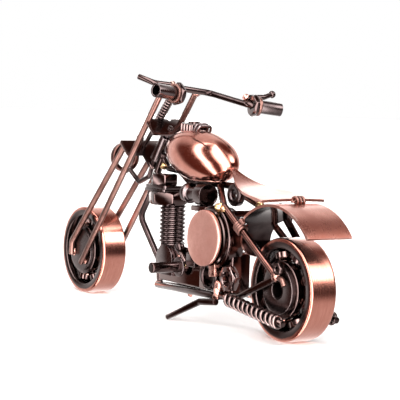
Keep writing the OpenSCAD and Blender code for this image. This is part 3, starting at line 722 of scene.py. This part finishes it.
def handlebar():
    reach = BAR_KNEE + grip_line * 5
    path = fillet([mirrored(reach), mirrored(BAR_KNEE), mirrored(BAR_KINK), BAR_KINK, BAR_KNEE, reach], 3.0)
    Shape(on_bar(tube(path, BAR_D / 2, 24))).build("bar", black_nickel, "handlebar", "fork")

    grip = [(1.1, 0), (2.1, 0), (2.1, GRIP_LEN), (1.55, GRIP_LEN), (1.55, 2.2), (1.1, 2.0)]
    grip, ring, nut_t = rounded(grip, 0.12), ring_profile(2.1, 3.0, 0.05, 1.05, 0.25), 1.8
    start = GRIP_END - grip_line * GRIP_LEN
    grips, nuts, rings = Shape(), Shape(), Shape()
    for flip in (lambda part: part, flipped):
        grips.add(on_bar(flip(lathe(grip, start, grip_line, 48, closed=True))))
        nuts.add(on_bar(flip(nut(6.2, nut_t, 2.1, start - grip_line * nut_t, grip_line, 0.3))))
        rings.add(on_bar(flip(lathe(ring, start, grip_line, 48, closed=True))))
    grips.build("grip_tubes", grey_nickel, "grips", "fork")
    nuts.build("bar_nuts_piece", black_nickel, "bar_nuts", "fork")
    rings.build("grip_rings", rod_copper, "bar_rings", "fork")

    root, heel = vec(2.9, 1.1, 2.6), vec(2.2, 0.8, 1.7)
    left, right = [vec(3.2, 7.6, 2.4), vec(7.6, 10.8, 3.9)], [vec(3.4, 7.2, 3.4), vec(4.3, 10.9, 4.8)]
    rod = tube([BAR_KNEE + p for p in fillet([heel, root] + left, 2.2)], 0.9, 20, 0.14)
    lever = Shape(on_bar(rod))
    lever.add(on_bar(weld(BAR_KNEE + root + vec(0.1, 0.2, 0.2), 1.05, 13)), 1)
    lever.build("left_lever", [black_nickel, pink_weld], "lever_left", "fork")
    rod = tube([BAR_KNEE + p for p in fillet([heel, root] + right, 2.2)], 0.9, 20, 0.14)
    lever = Shape(on_bar(flipped(rod))).add(on_bar(flipped(ball(BAR_KNEE + right[-1], 1.25))))
    lever.add(on_bar(flipped(weld(BAR_KNEE + root + vec(0, -1.0, -0.2), 1.15, 12))), 1)
    lever.build("right_lever", [black_nickel, pink_weld], "lever_right", "fork")
    top = Shape()
    for side in (1, -1):
        top.add(on_bar(weld((0, side * FORK_ROD_Y, -1.0), 0.95, 10 + side, (1, 1.2, 0.9))))
    top.build("bar_welds", pink_weld, body="fork")


handlebar()


# ---- frame

FRAME_Y = 6.5
ROD_R = 1.05
STRUT_TOP, STRUT_FOOT = vec(-31.8, FRAME_Y, 37), vec(-59.1, FRAME_Y, 19.1)
RAIL_FRONT, RAIL_REAR = vec(13.8, 1.1, 7.8), vec(-28.7, 6, 9.5)


def bar_rod(path, name, metal, node, bend=3.0, both=False):
    """A bent rod of the frame, and its mirror image where there are two."""
    part = tube(fillet(path, bend), ROD_R, 24)
    shape = Shape().add_both(part) if both else Shape(part)
    shape.build(name, metal, node)


def frame_rods():
    neck = rounded([(1.05, 0), (2.0, 0), (2.0, 10), (1.05, 10)], 0.2)
    Shape(lathe(neck, uv(25.4, V_AXIS), along_rake, 48, closed=True)).build("neck", grey_nickel, "neck_tube")
    bar_rod([uv(30, V_AXIS - 2.75), (22.2, 0, 36), (27.4, 0, 29.1), (14.9, 0, 16), (13.8, 0, 7.6)],
            "downtube_rod", black_nickel, "downtube")
    bar_rod([(14, 0, 49.4), (10.6, 0, 46.1), (3.6, 0, 45.7), (-1.8, 0, 42.7), (-26, 0, 42.7), (-32, 0, 43.4)],
            "backbone_rod", black_nickel, "backbone", 2.2)
    bar_rod([RAIL_FRONT, RAIL_REAR], "rails", grey_nickel, "lower_rails", both=True)
    bar_rod([RAIL_REAR + vec(-0.8, 0.3, 0), (-41.6, FRAME_Y, 11.2), STRUT_FOOT + vec(0, 0, -0.6)],
            "swingarm_rods", black_nickel, "swingarms", both=True)
    bar_rod([(-22, 1.6, 42.4), STRUT_TOP, STRUT_FOOT], "strut_rods", dark_copper, "upper_struts", 2.2, True)
    end = STRUT_TOP + vec(-3.2, -0.8, -2.1)
    bar_rod([end, mirrored(end)], "cross_rod_piece", black_nickel, "cross_rod")


def frame_welds():
    brass, pink = Shape(), Shape()
    brass.add(weld((12.0, 0.6, 46.8), 1.5, 21, (1, 1, 0.8)))
    brass.add(weld(STRUT_TOP + vec(1.4, 0.9, -0.4), 1.35, 22))
    brass.add(weld(STRUT_TOP + vec(-0.9, 1.0, -0.7), 0.9, 23))
    brass.add(weld(mirrored(STRUT_TOP), 1.3, 24))
    brass.add(weld((-6, 4.2, 16.6), 1.3, 25, (1.4, 0.7, 1)))
    brass.build("brass_welds", brass_weld)
    pink.add(weld((13.8, 0.5, 8.0), 1.25, 26))
    pink.add_both(weld(RAIL_REAR + vec(-0.4, 0.3, 0.1), 1.25, 27))
    pink.add_both(weld(STRUT_FOOT + vec(0, 0, -0.3), 1.4, 28, (1.2, 0.9, 1)))
    pink.add(weld((-30.6, 7.3, 11.6), 1.3, 29, (0.9, 0.8, 2.0)))
    pink.add(weld((-31.4, 7.4, 13.2), 1.1, 30, (0.9, 0.7, 1.2)))
    pink.add(weld((-10.6, 3.9, 7.6), 0.8, 31, (1.4, 0.8, 0.8)))
    pink.build("pink_welds", pink_weld)


def rear_hub_trim():
    """A short hooked stub behind the rear hub and a small nut over it, on each side."""
    top = STRUT_FOOT
    stub, small = Shape(), Shape()
    path = fillet([top + vec(0.4, 0, -0.2), top + vec(-3.4, 0.2, -0.6), top + vec(-4.4, 0.2, -2.4)], 1.0)
    stub.add_both(tube(path, 0.8, 18, 0.12))
    stub.build("hub_stubs", rod_copper)
    small.add_both(nut(3.6, 1.8, 1.5, top + vec(-1.2, -0.9, 2.2), LEFT, 0.2, 0.3))
    small.build("hub_nuts", black_nickel)


def stay():
    low, high = node_mm("fender_stay")
    y0, y1 = low[1], high[1]
    outline = rounded([(-38, 36.8), (-39.6, 38.6), (-58.6, 20.6), (-57, 18.8)], 0.5)
    shape = Shape(plate(outline, y0, y1, upright, 0.15))
    shape.add(nut(2.6, 1.0, 0, vec(-42.9, y0 + 0.1, 33.6), vec(0, -1, 0), 0.4, 0.25), 1)
    shape.build("right_stay", [black_nickel, grey_nickel], "fender_stay")
    tie = Shape(tube([(-40.9, FRAME_Y, 31.6), (-42.4, FRAME_Y, 33.6)], 0.8, 16, 0.1))
    line = unit(STRUT_FOOT - STRUT_TOP)
    start = STRUT_TOP + line * 9.2
    tie.add(tube(coil_path(start, start + line * 3.0, ROD_R + 0.45, 3.4, 18), 0.42, 10, 0.1))
    tie.add(weld((-41.6, FRAME_Y + 0.2, 33.4), 1.0, 33))
    tie.build("wire_tie", rod_copper, "fender_tie")


frame_rods()
frame_welds()
rear_hub_trim()
stay()


# ---- tank, seat and fender

TANK_MID, TANK_SLOPE = vec(-9, 0, 50.9), math.radians(8.5)
TANK_A, TANK_R, TANK_CUT = 17.4, 8.3, 43.8
SHEET = 0.8
CAP_TILT = math.radians(-4)
tank_axis = vec(math.cos(TANK_SLOPE), 0, math.sin(TANK_SLOPE))
tank_up = vec(-math.sin(TANK_SLOPE), 0, math.cos(TANK_SLOPE))


def tank_point(t, q, inset):
    """A point of the egg at angle t along it and q round it, lifted to its open rim if it is below that."""
    p = (TANK_MID + tank_axis * (TANK_A - inset) * math.cos(t)
         + (TANK_R - inset) * math.sin(t) * (tank_up * math.cos(q) + LEFT * math.sin(q)))
    return vec(p[0], p[1], max(p[2], TANK_CUT))


def tank():
    """The domed shell, open underneath, with a wire rolled round its rim."""
    rows, cols, pole = 72, 96, 0.012
    shape = Shape()
    for inside, inset in enumerate((0, SHEET)):
        verts = [tank_point(min(max(math.pi * i / rows, pole), math.pi - pole), 2 * math.pi * k / cols, inset)
                 for i in range(rows + 1) for k in range(cols)]
        faces = []
        for i in range(rows):
            for k in range(cols):
                j = (k + 1) % cols
                f = (i * cols + k, (i + 1) * cols + k, (i + 1) * cols + j, i * cols + j)
                if any(verts[m][2] > TANK_CUT + 1e-6 for m in f):
                    faces.append(f[::-1] if inside else f)
        front, rear = tuple(range(cols)), tuple(rows * cols + k for k in range(cols))
        faces += [front[::-1], rear] if inside else [front, rear[::-1]]
        shape.add((verts, faces), inside)
    # the shell's inside is painted near black: painted shade under the dome
    shape.build("tank_egg", [polished_copper, painted_hollow_shade], "tank_shell", sharp=60)
    rim = tube(rim_path(SHEET / 2), 0.5, 12, closed=True)
    Shape(rim).build("tank_rim", brushed_copper, slot="polished_copper")


def rim_path(inset):
    """The closed curve where the egg meets the plane of its open rim."""
    gap = 0.35
    a, r = TANK_A - inset, TANK_R - inset
    left = []
    for x in np.linspace(-TANK_A, TANK_A, 400):
        middle = TANK_MID + tank_axis * x
        wide = r * math.sqrt(max(0, 1 - (x / a) ** 2))
        drop = (TANK_CUT - middle[2]) / tank_up[2]
        if -wide < drop < 0:
            at = middle + tank_up * drop
            left.append(vec(at[0], math.sqrt(wide * wide - drop * drop), TANK_CUT))
    path = left + [mirrored(p) for p in left[::-1]]
    keep = [path[0]]
    for p in path[1:]:
        if np.linalg.norm(p - keep[-1]) > gap:
            keep.append(p)
    return keep[:-1] if np.linalg.norm(keep[0] - keep[-1]) < gap else keep


def cap():
    """A block with short upright ribs on its sides, a button on top and two wire hoops behind it."""
    base, half = vec(-3.9, 0, 57.6), 3.2
    outline = rounded(rectangle(-half, half, -half, half), 0.6)
    cos, sin = math.cos(CAP_TILT), math.sin(CAP_TILT)

    def place(x, y, h):
        return base + vec(x * cos + h * sin, y, h * cos - x * sin)

    shape = Shape(plate(outline, 0, 3.4, place, 0.3))
    shape.add(lathe([(2.0, 3.2), (2.0, 3.8), (1.7, 4.05), (0, 4.1)], base, UP, 36))
    for k in range(4):
        x = -2.4 + 1.6 * k
        for y in (-3.25, 3.25):
            shape.add(tube([place(x, y, 0.2), place(x, y, 3.2)], 0.28, 8, 0.05))
    shape.build("cap_block", black_nickel, "filler_cap", slot="dark_copper")
    hoops = Shape()
    for i in range(2):
        foot, top = vec(-7.6 - 1.6 * i, -2.6, 58.4), vec(-8.4 - 1.8 * i, -2.2, 60.9 - 0.5 * i)
        hoops.add(tube(fillet([foot, top, mirrored(top), mirrored(foot)], 1.2), 0.45, 12, 0.05))
    hoops.build("cap_hoops", grey_nickel, "cap_hoop")


SEAT_LINE = [(-25.6, 0.6, 48.9), (-29, 1.8, 46.7), (-33.3, 3.9, 44.6), (-42, 8, 42.8), (-57.3, 11.3, 40.9)]


def smooth_line(points, n):
    """n points on a smooth curve through the given ones, which run evenly enough for it."""
    pts = np.array(points, float)
    along = np.concatenate([[0], np.cumsum(np.linalg.norm(np.diff(pts, axis=0), axis=1))])
    slopes = np.gradient(pts, along, axis=0)
    out = []
    for s in np.linspace(0, along[-1], n):
        i = min(np.searchsorted(along, s, side="right") - 1, len(pts) - 2)
        h = along[i + 1] - along[i]
        t = (s - along[i]) / h
        out.append((2 * t ** 3 - 3 * t ** 2 + 1) * pts[i] + (t ** 3 - 2 * t ** 2 + t) * h * slopes[i]
                   + (3 * t ** 2 - 2 * t ** 3) * pts[i + 1] + (t ** 3 - t ** 2) * h * slopes[i + 1])
    return out


def soften(obj):
    """Rounds a sheet's sharp edges a little."""
    bevel = obj.modifiers.new("edge", "BEVEL")
    bevel.width = 0.12 * MM
    bevel.segments = 2
    bevel.limit_method = "ANGLE"


def seat():
    """A bent sheet, a little hollow across its front and crowned at its rear."""
    line = smooth_line(SEAT_LINE, 49)
    cols = 25
    top, under = [], []
    for i, (x, half, z) in enumerate(line):
        share = i / 48
        upper, lower = [], []
        for k in range(cols):
            t = 2 * k / (cols - 1) - 1
            crown = (0.35 * share - 0.25 * (1 - share)) * (1 - t * t) - 0.15
            upper.append(vec(x, t * half, z + crown))
            lower.append(vec(x, t * half, z + crown - SHEET))
        top.append(upper)
        under.append(lower)
    soften(Shape(sheet(top, under)).build("seat_sheet", brushed_copper, "seat", sharp=50))
    rings = Shape()
    path = coil_path(vec(-58.4, -2.9, 40.6), vec(-58.4, 0.5, 40.6), 1.0, 3, 24, 2.2)
    rings.add(tube(path, 0.4, 14, 0.1))
    rings.add(weld((-57.4, -1.2, 40.2), 0.75, 51, (0.8, 2.2, 0.6)), 1)
    rings.build("tail_rings", [rod_copper, pink_weld], "tail_coil")


def fender():
    """A curved strip over the wheel that narrows into a round-ended flap in front of it."""
    mid, r = vec(-57.8, 17.2), 22.4
    line = [mid + r * vec(math.cos(a), math.sin(a)) for a in np.radians(np.linspace(141, 46.5, 48))]
    line += fillet([np.append(line[-1], 0), (-38.6, 28.6, 0), (-39.6, 22.4, 0)], 6, 8)[1:]
    line = [np.array(p)[:2] for p in line]
    dense = []
    for a, b in zip(line, line[1:]):
        n = max(1, int(np.linalg.norm(b - a) / 0.7))
        dense += [a + (b - a) * k / n for k in range(n)]
    dense.append(line[-1])
    wide, narrow, top_z, low_z = 7.9, 5.2, 33.2, 22.4
    cols = 21
    outer, inner = [], []
    for i, p in enumerate(dense):
        ahead = dense[min(i + 1, len(dense) - 1)] - dense[max(i - 1, 0)]
        normal = unit(vec(-ahead[1], ahead[0]))
        if normal @ (p - mid) < 0:
            normal = -normal
        half = wide
        if p[0] > mid[0] and p[1] < top_z:
            half = narrow
            below = low_z + narrow - p[1]
            if below > 0:
                half = math.sqrt(max(0.04, narrow ** 2 - below ** 2))
        elif p[0] > mid[0] and p[1] < top_z + 1.6:
            half = narrow + (wide - narrow) * math.sqrt((p[1] - top_z) / 1.6)
        row = [vec(p[0], half * (2 * k / (cols - 1) - 1), p[1]) for k in range(cols)]
        outer.append(row)
        inner.append([q - SHEET * vec(normal[0], 0, normal[1]) for q in row])
    shape = Shape(sheet(outer, inner))
    obj = shape.build("fender_sheet", [brushed_copper, black_nickel], "rear_fender", sharp=50)
    # faces turned towards the wheel get black nickel: painted shade on the fender's underside
    for face in obj.data.polygons:
        x, _, z = np.array(face.center) / MM
        if np.array(face.normal) @ unit(vec(mid[0] - x, 0, mid[1] - z)) > 0.5:
            face.material_index = 1
    soften(obj)


tank()
cap()
seat()
fender()


# ---- engine

STUD = vec(6.6, 0.4, 0)
STUD_Z = (22.0, 34.6)
DRUM, CUP = vec(-26.6, 0, 27.1), vec(-26, 0, 15.5)
PEG = vec(-6, 3.5, 16)


def stud():
    """The threaded stud, its thread cut as one helix."""
    pitch, major, depth = 1.3, 4.2, 0.62
    segments, per_turn = 72, 10
    low, high = STUD_Z
    rows = int((high - low) / pitch * per_turn)
    verts = []
    for i in range(rows + 1):
        z = low + (high - low) * i / rows
        for k in range(segments):
            q = 2 * math.pi * k / segments
            phase = ((z / pitch) - q / (2 * math.pi)) % 1
            wave = min(1, max(0, 1.35 * (1 - abs(2 * phase - 1)) - 0.12))
            r = major - depth + depth * wave * wave * (3 - 2 * wave)
            verts.append(STUD + vec(r * math.cos(q), r * math.sin(q), z))
    shape = Shape((verts, skin(rows + 1, segments)))
    shape.build("threaded_stud", dark_nickel, "cylinder_stud", slot="black_nickel", sharp=60)


def head():
    size = {"lower": (11.3, 4.2, vec(7.6, 1.6, 34.6), math.radians(12), 0.8),
            "upper": (8, 3.7, vec(8.4, 2.8, 40.9), 0, 0.5)}
    for name, (af, height, at, turn, chamfer) in size.items():
        shape = Shape(nut(af, height, 0, at, UP, turn, chamfer, AHEAD))
        shape.build(name + "_nut", black_nickel, name + "_head_nut")
    plates = Shape()
    for x0, x1, y0, y1, z0, z1 in ((3, 15, -3, 6.4, 38.8, 39.7), (2, 14, -2, 6.6, 39.7, 40.9)):
        plates.add(plate(rounded(rectangle(x0, x1, y0, y1), 0.7), z0, z1, vec, 0.18))
    plates.build("plates", grey_nickel, "head_plates")


def block(outline, low, high):
    return Shape(plate(rounded(outline, 0.8), low, high, upright, 0.35))


def crankcase():
    arch = [(4 - 5 * math.cos(q), 17 + 5 * math.sin(q)) for q in np.linspace(0, math.pi, 25)]
    rounded_plate = Shape(plate([(-1, 12.4)] + arch + [(9, 12.4)], 3.5, 5, upright, 0.2))
    rounded_plate.build("round_plate", grey_nickel, "base_plate")
    block(rectangle(-17, 9, 10.2, 22), -3.5, 3.5).build("case", black_nickel, "crankcase")
    trim = Shape(ball((-4.4, 4.4, 22), 1.6))
    trim.add(tube([(-4.2, 4.4, 21), (-8.4, 4.6, 17.6)], 0.8, 16))
    trim.add(plate(rounded(rectangle(-15, -10, 16.6, 21), 0.5), 3.4, 5.6, upright, 0.3), 1)
    trim.add(weld((-4.6, 4.4, 19.4), 0.8, 41), 2)
    trim.build("case_trim", [black_nickel, grey_nickel, pink_weld])


def drum():
    body = [(0, 1.6), (9.2, 1.6), (9.65, 1.8), (9.8, 2.2), (9.8, 6.6), (9.6, 7.15), (9.1, 7.4), (8.9, 7.42),
            (8.85, 7.6), (8.8, 8.3), (8.5, 8.6), (0, 8.6)]
    Shape(lathe(body, DRUM, LEFT, 120)).build("drum_body", black_nickel, "drum")
    face, r = unit(vec(-0.02, 1, 0.04)), 8.5
    profile = [(0, -0.6), (r - 0.3, -0.6), (r, -0.35), (r, 0.25), (r - 0.12, 0.5), (r - 0.4, 0.6)]
    profile += [(r * k, 0.6 + 0.35 * (1 - k * k)) for k in (0.9, 0.75, 0.5, 0.25, 0)]
    cover = Shape(lathe(profile, middle_mm("drum_cover"), face, 120))
    cover.build("cover_disc", satin_copper, "drum_cover", slot="brushed_copper")

    block([(-35, 10.4), (-17, 10.4), (-17, 20), (-20, 23.4), (-35, 23.4)], -1.5, 5).build(
        "engine_block_piece", black_nickel, "engine_block")
    Shape(nut(7.3, 2.4, 4.4, vec(-35.2, 5.0, 15.6), LEFT, 0.15, 0.4)).build(
        "side_nut", spring_nickel, "hex_nut", slot="black_nickel")
    cup = rounded([(3.0, 5), (4.3, 5), (4.3, 7.6), (3.9, 8.0), (3.4, 8.0), (3.0, 7.4)], 0.15)
    trim = Shape(lathe(cup, CUP, LEFT, closed=True))
    trim.add(lathe([(3.05, 6.0), (0, 6.0)], CUP, LEFT))
    tab = rounded([(-31, 15.8), (-27.6, 15.4), (-27.2, 19.6), (-30.6, 20)], 0.5)
    trim.add(plate(tab, 7, 8.6, upright, 0.2), 1)
    trim.add(plate(rounded(rectangle(-24, -16, 34.6, 36.2), 0.4), 3.2, 8.2, upright, 0.2))
    trim.build("drum_trim", [black_nickel, pink_weld])


def carburettor():
    start = vec(-18.5, 3.4, 39.3)
    horn = [(0, 3.2), (1.7, 3.1), (2.5, 1.6), (3.0, 0.4), (3.25, 0.05)]
    body = [(3.25, 0.05), (3.5, 0.0), (3.5, 4.2), (2.2, 4.6), (2.2, 9.6), (3.2, 10), (3.2, 11.8), (0, 11.8)]
    # the dished inside of the mouth is black nickel: painted shade in the mouth
    shape = Shape(lathe(rounded(body, 0.25, closed=False), start, AHEAD)).add(lathe(horn, start, AHEAD), 1)
    shape.build("carburettor_piece", [grey_nickel, black_nickel], "carburettor", slot="black_nickel")
    low, high = node_mm("ring_nut")
    half = (high[1] - low[1]) / 2
    ring = Shape(lathe(ring_profile(1.4, 3.5, -half, half, 0.6), (low + high) / 2, LEFT, closed=True))
    ring.build("ring_nut_piece", grey_nickel, "ring_nut")


def pegs():
    length = 12.3
    profile = [(0, 0)] + rounded([(1.7, 0), (1.7, length), (1.0, length)], 0.3, closed=False) + [(0, length)]
    shape = Shape().add_both(lathe(profile, PEG, LEFT, 48))
    flange = ring_profile(1.6, 3.1, 1.6, 2.4, 0.25)
    shape.add_both(lathe(flange, PEG, LEFT, 48, closed=True), 1)
    shape.build("pegs", [black_nickel, grey_nickel], "foot_pegs")


stud()
head()
crankcase()
drum()
carburettor()
pegs()


# ---- exhausts and stand

def exhausts():
    y, turns, coil_r = 9.6, 10.6, 1.6
    front, rear = vec(-40, y, 10.1), vec(-67.4, y, 6.7)
    line = unit(rear - front)
    path = fillet([(-36.3, 8.1, 10.43), front - 1.1 * line, rear], 2.2)
    Shape().add_both(tube(path, 1.0, 20)).build("exhaust_pipes", black_nickel, "exhaust_rods")
    end = front + line * np.linalg.norm(rear - front) / 12 * turns
    coil = coil_path(front, end, coil_r, turns, 24)
    closing = coil_path(end, end + line * 1.05, coil_r, 1, 24, 2 * math.pi * turns)
    springs = Shape().add_both(tube(coil + closing[1:], 0.5, 14, 0.12))
    springs.build("exhaust_springs", spring_nickel, "exhaust_coils", slot="grey_nickel")


def kickstand():
    foot = vec(-8.6, 10.6, 0.6)
    path = fillet([(-30, 7.2, 8), (-21.5, 7.5, 7), foot], 2.2)
    verts, faces = tube(path, ROD_R, 24, 0.12)
    verts = [vec(x, y, max(z, 0)) for x, y, z in verts]
    Shape((verts, faces)).build("stand_rod", black_nickel, "kickstand")


exhausts()
kickstand()


# ---- CAD nodes that stay

node_slot = {row["node"]: row["material_slot"] for row in frame["record"]["subparts"]}
for name, obj in frame["nodes"].items():
    obj.data.materials.clear()
    obj.data.materials.append(SLOT_METAL[node_slot[name]])


# ---- floor, light and camera

TENT_LIGHT = 14
FLOOR_LIGHT = 3.5                                # the lamp's watts
FILL = (0.025, 0.0247, 0.0247)                   # what the tent gives the floor
VELVET, DARK, SOFT = (0.003, 0.001, 0.001), (0.015, 0.0045, 0.003), (0.09, 0.086, 0.085)
WHITE, GLARE = (0.12, 0.115, 0.112), (0.26, 0.25, 0.245)
STRIP, CORE = (0.4, 0.385, 0.375), (1, 0.97, 0.95)
LEVELS = [(-1, SOFT), (-0.32, SOFT), (-0.12, DARK), (0.36, DARK), (0.66, SOFT), (1, SOFT)]
# panels of the tent: where each hangs, the degrees it reaches at full tone and till it has faded, its tone
PANELS = [((0.85, -0.5, 0.12), 38, 62, WHITE), ((0.84, -0.53, 0.08), 10, 26, GLARE),
          ((0.05, -0.42, 0.9), 12, 26, DARK), ((-0.66, -0.5, 0.62), 16, 26, STRIP),
          ((-0.68, -0.52, 0.52), 8, 18, CORE), ((-0.83, -0.55, 0.1), 12, 18, VELVET)]
# tones met in turn going round the left, from ahead to behind
STRIPES = [(-1.15, WHITE), (-0.75, DARK), (0.52, DARK), (0.8, STRIP), (0.98, CORE), (1.16, CORE),
           (1.32, STRIP), (1.6, DARK), (2.5, DARK), (2.9, STRIP), (3.5, CORE), (4.8, CORE), (5.3, STRIP),
           (6, DARK)]


def floor():
    r = 6.0
    verts, faces = lathe([(0, 0), (r / 8, 0), (r / 2, 0), (r, 0)], vec(0, 0, 0), UP, 64)
    mesh = bpy.data.meshes.new("floor")
    mesh.from_pydata([tuple(v) for v in verts], [], faces)
    mesh.materials.append(floor_material())
    obj = bpy.data.objects.new("floor", mesh)
    obj.visible_glossy = False
    bpy.context.scene.collection.objects.link(obj)


def softbox():
    """A rectangular lamp overhead that lights the floor."""
    target = Vector((0, 0, 0.035))
    at = target + Vector((0.25, -0.5, 1)).normalized() * 0.8
    data = bpy.data.lights.new("overhead", "AREA")
    data.shape = "RECTANGLE"
    data.size, data.size_y = 0.5, 0.4
    data.energy = FLOOR_LIGHT
    obj = bpy.data.objects.new("overhead", data)
    obj.location = at
    obj.rotation_euler = (target - at).to_track_quat("-Z", "Y").to_euler()
    obj.visible_glossy = False
    bpy.context.scene.collection.objects.link(obj)


def studio():
    """A tent for the reflections: bands by height, panels, and on the left two strip lights side by side that
    lean together overhead and underneath. The eye itself sees plain white past the floor."""
    world = bpy.data.worlds.new("studio")
    bpy.context.scene.world = world
    n = Nodes(world, "ShaderNodeOutputWorld")
    look = n.new("ShaderNodeTexCoord").outputs["Generated"]

    def towards(direction):
        return n.vector("DOT_PRODUCT", look, unit(vec(*direction)))["Value"]

    def lobe(direction, full, none):
        """1 within full degrees of a direction, fading to 0 at none degrees."""
        rim, heart = math.cos(math.radians(none)), math.cos(math.radians(full))
        return n.spread(towards(direction), 0, 1, rim, heart, "SMOOTHSTEP")

    def bands(value, low, high, stops):
        return n.ramp(n.spread(value, 0, 1, low, high), [((s - low) / (high - low), c) for s, c in stops])

    x, y, z = (towards(axis) for axis in (AHEAD, LEFT, UP))
    tone = bands(z, -1, 1, LEVELS)
    for direction, full, none, colour in PANELS:
        tone = n.mix(lobe(direction, full, none), tone, colour)
    lean = n.math("SUBTRACT", n.math("MULTIPLY", n.math("ABSOLUTE", z), 0.2), x)
    around = n.math("MULTIPLY", n.math("ARCTAN2", lean, y), 2.29)
    above = n.math("MULTIPLY", n.math("MAXIMUM", z, 0), 1.2)
    below = n.math("MULTIPLY", n.math("MINIMUM", z, 0), 0.9)
    tilt = n.math("ADD", n.math("ADD", above, below), 1.4)
    stripes = bands(n.math("ADD", around, tilt), -3, 9, STRIPES)
    uncovered = n.math("SUBTRACT", 1, lobe((0.75, 0, 0.66), 20, 36))
    left = n.math("MULTIPLY", n.spread(y, 0, 1, -0.2, 0.05), uncovered)
    tone = n.mix(left, tone, stripes)

    rays = n.new("ShaderNodeLightPath").outputs
    light = n.mix(rays["Is Diffuse Ray"], tone, FILL)
    tent = n.new("ShaderNodeBackground", {"Color": light, "Strength": TENT_LIGHT}).outputs[0]
    plain = n.new("ShaderNodeBackground", {"Color": (1, 1, 1)}).outputs[0]
    either = n.new("ShaderNodeMixShader", {0: rays["Is Camera Ray"], 1: tent, 2: plain})
    n.tree.links.new(either.outputs[0], n.out.inputs["Surface"])


def camera():
    """A long lens from behind and to the left, a little above, slightly rolled."""
    eye = vec(-406.66, 260.99, 68.82) * MM
    yaw, pitch, roll = math.radians(-33.246), math.radians(3.806), math.radians(1.80)
    ahead = vec(math.cos(pitch) * math.cos(yaw), math.cos(pitch) * math.sin(yaw), -math.sin(pitch))
    right = unit(np.cross(ahead, UP))
    up = np.cross(right, ahead)
    right, up = right * math.cos(roll) + up * math.sin(roll), up * math.cos(roll) - right * math.sin(roll)
    data = bpy.data.cameras.new("camera")
    data.sensor_width = 36
    data.lens = 136.67
    data.clip_start = 0.01
    data.clip_end = 50
    obj = bpy.data.objects.new("camera", data)
    rows = [[right[i], up[i], -ahead[i], eye[i]] for i in range(3)] + [[0, 0, 0, 1]]
    obj.matrix_world = Matrix(rows)
    bpy.context.scene.collection.objects.link(obj)
    bpy.context.scene.camera = obj


floor()
softbox()
studio()
camera()
bpy.context.scene.view_settings.view_transform = "Standard"
bpy.context.scene.view_settings.look = "None"
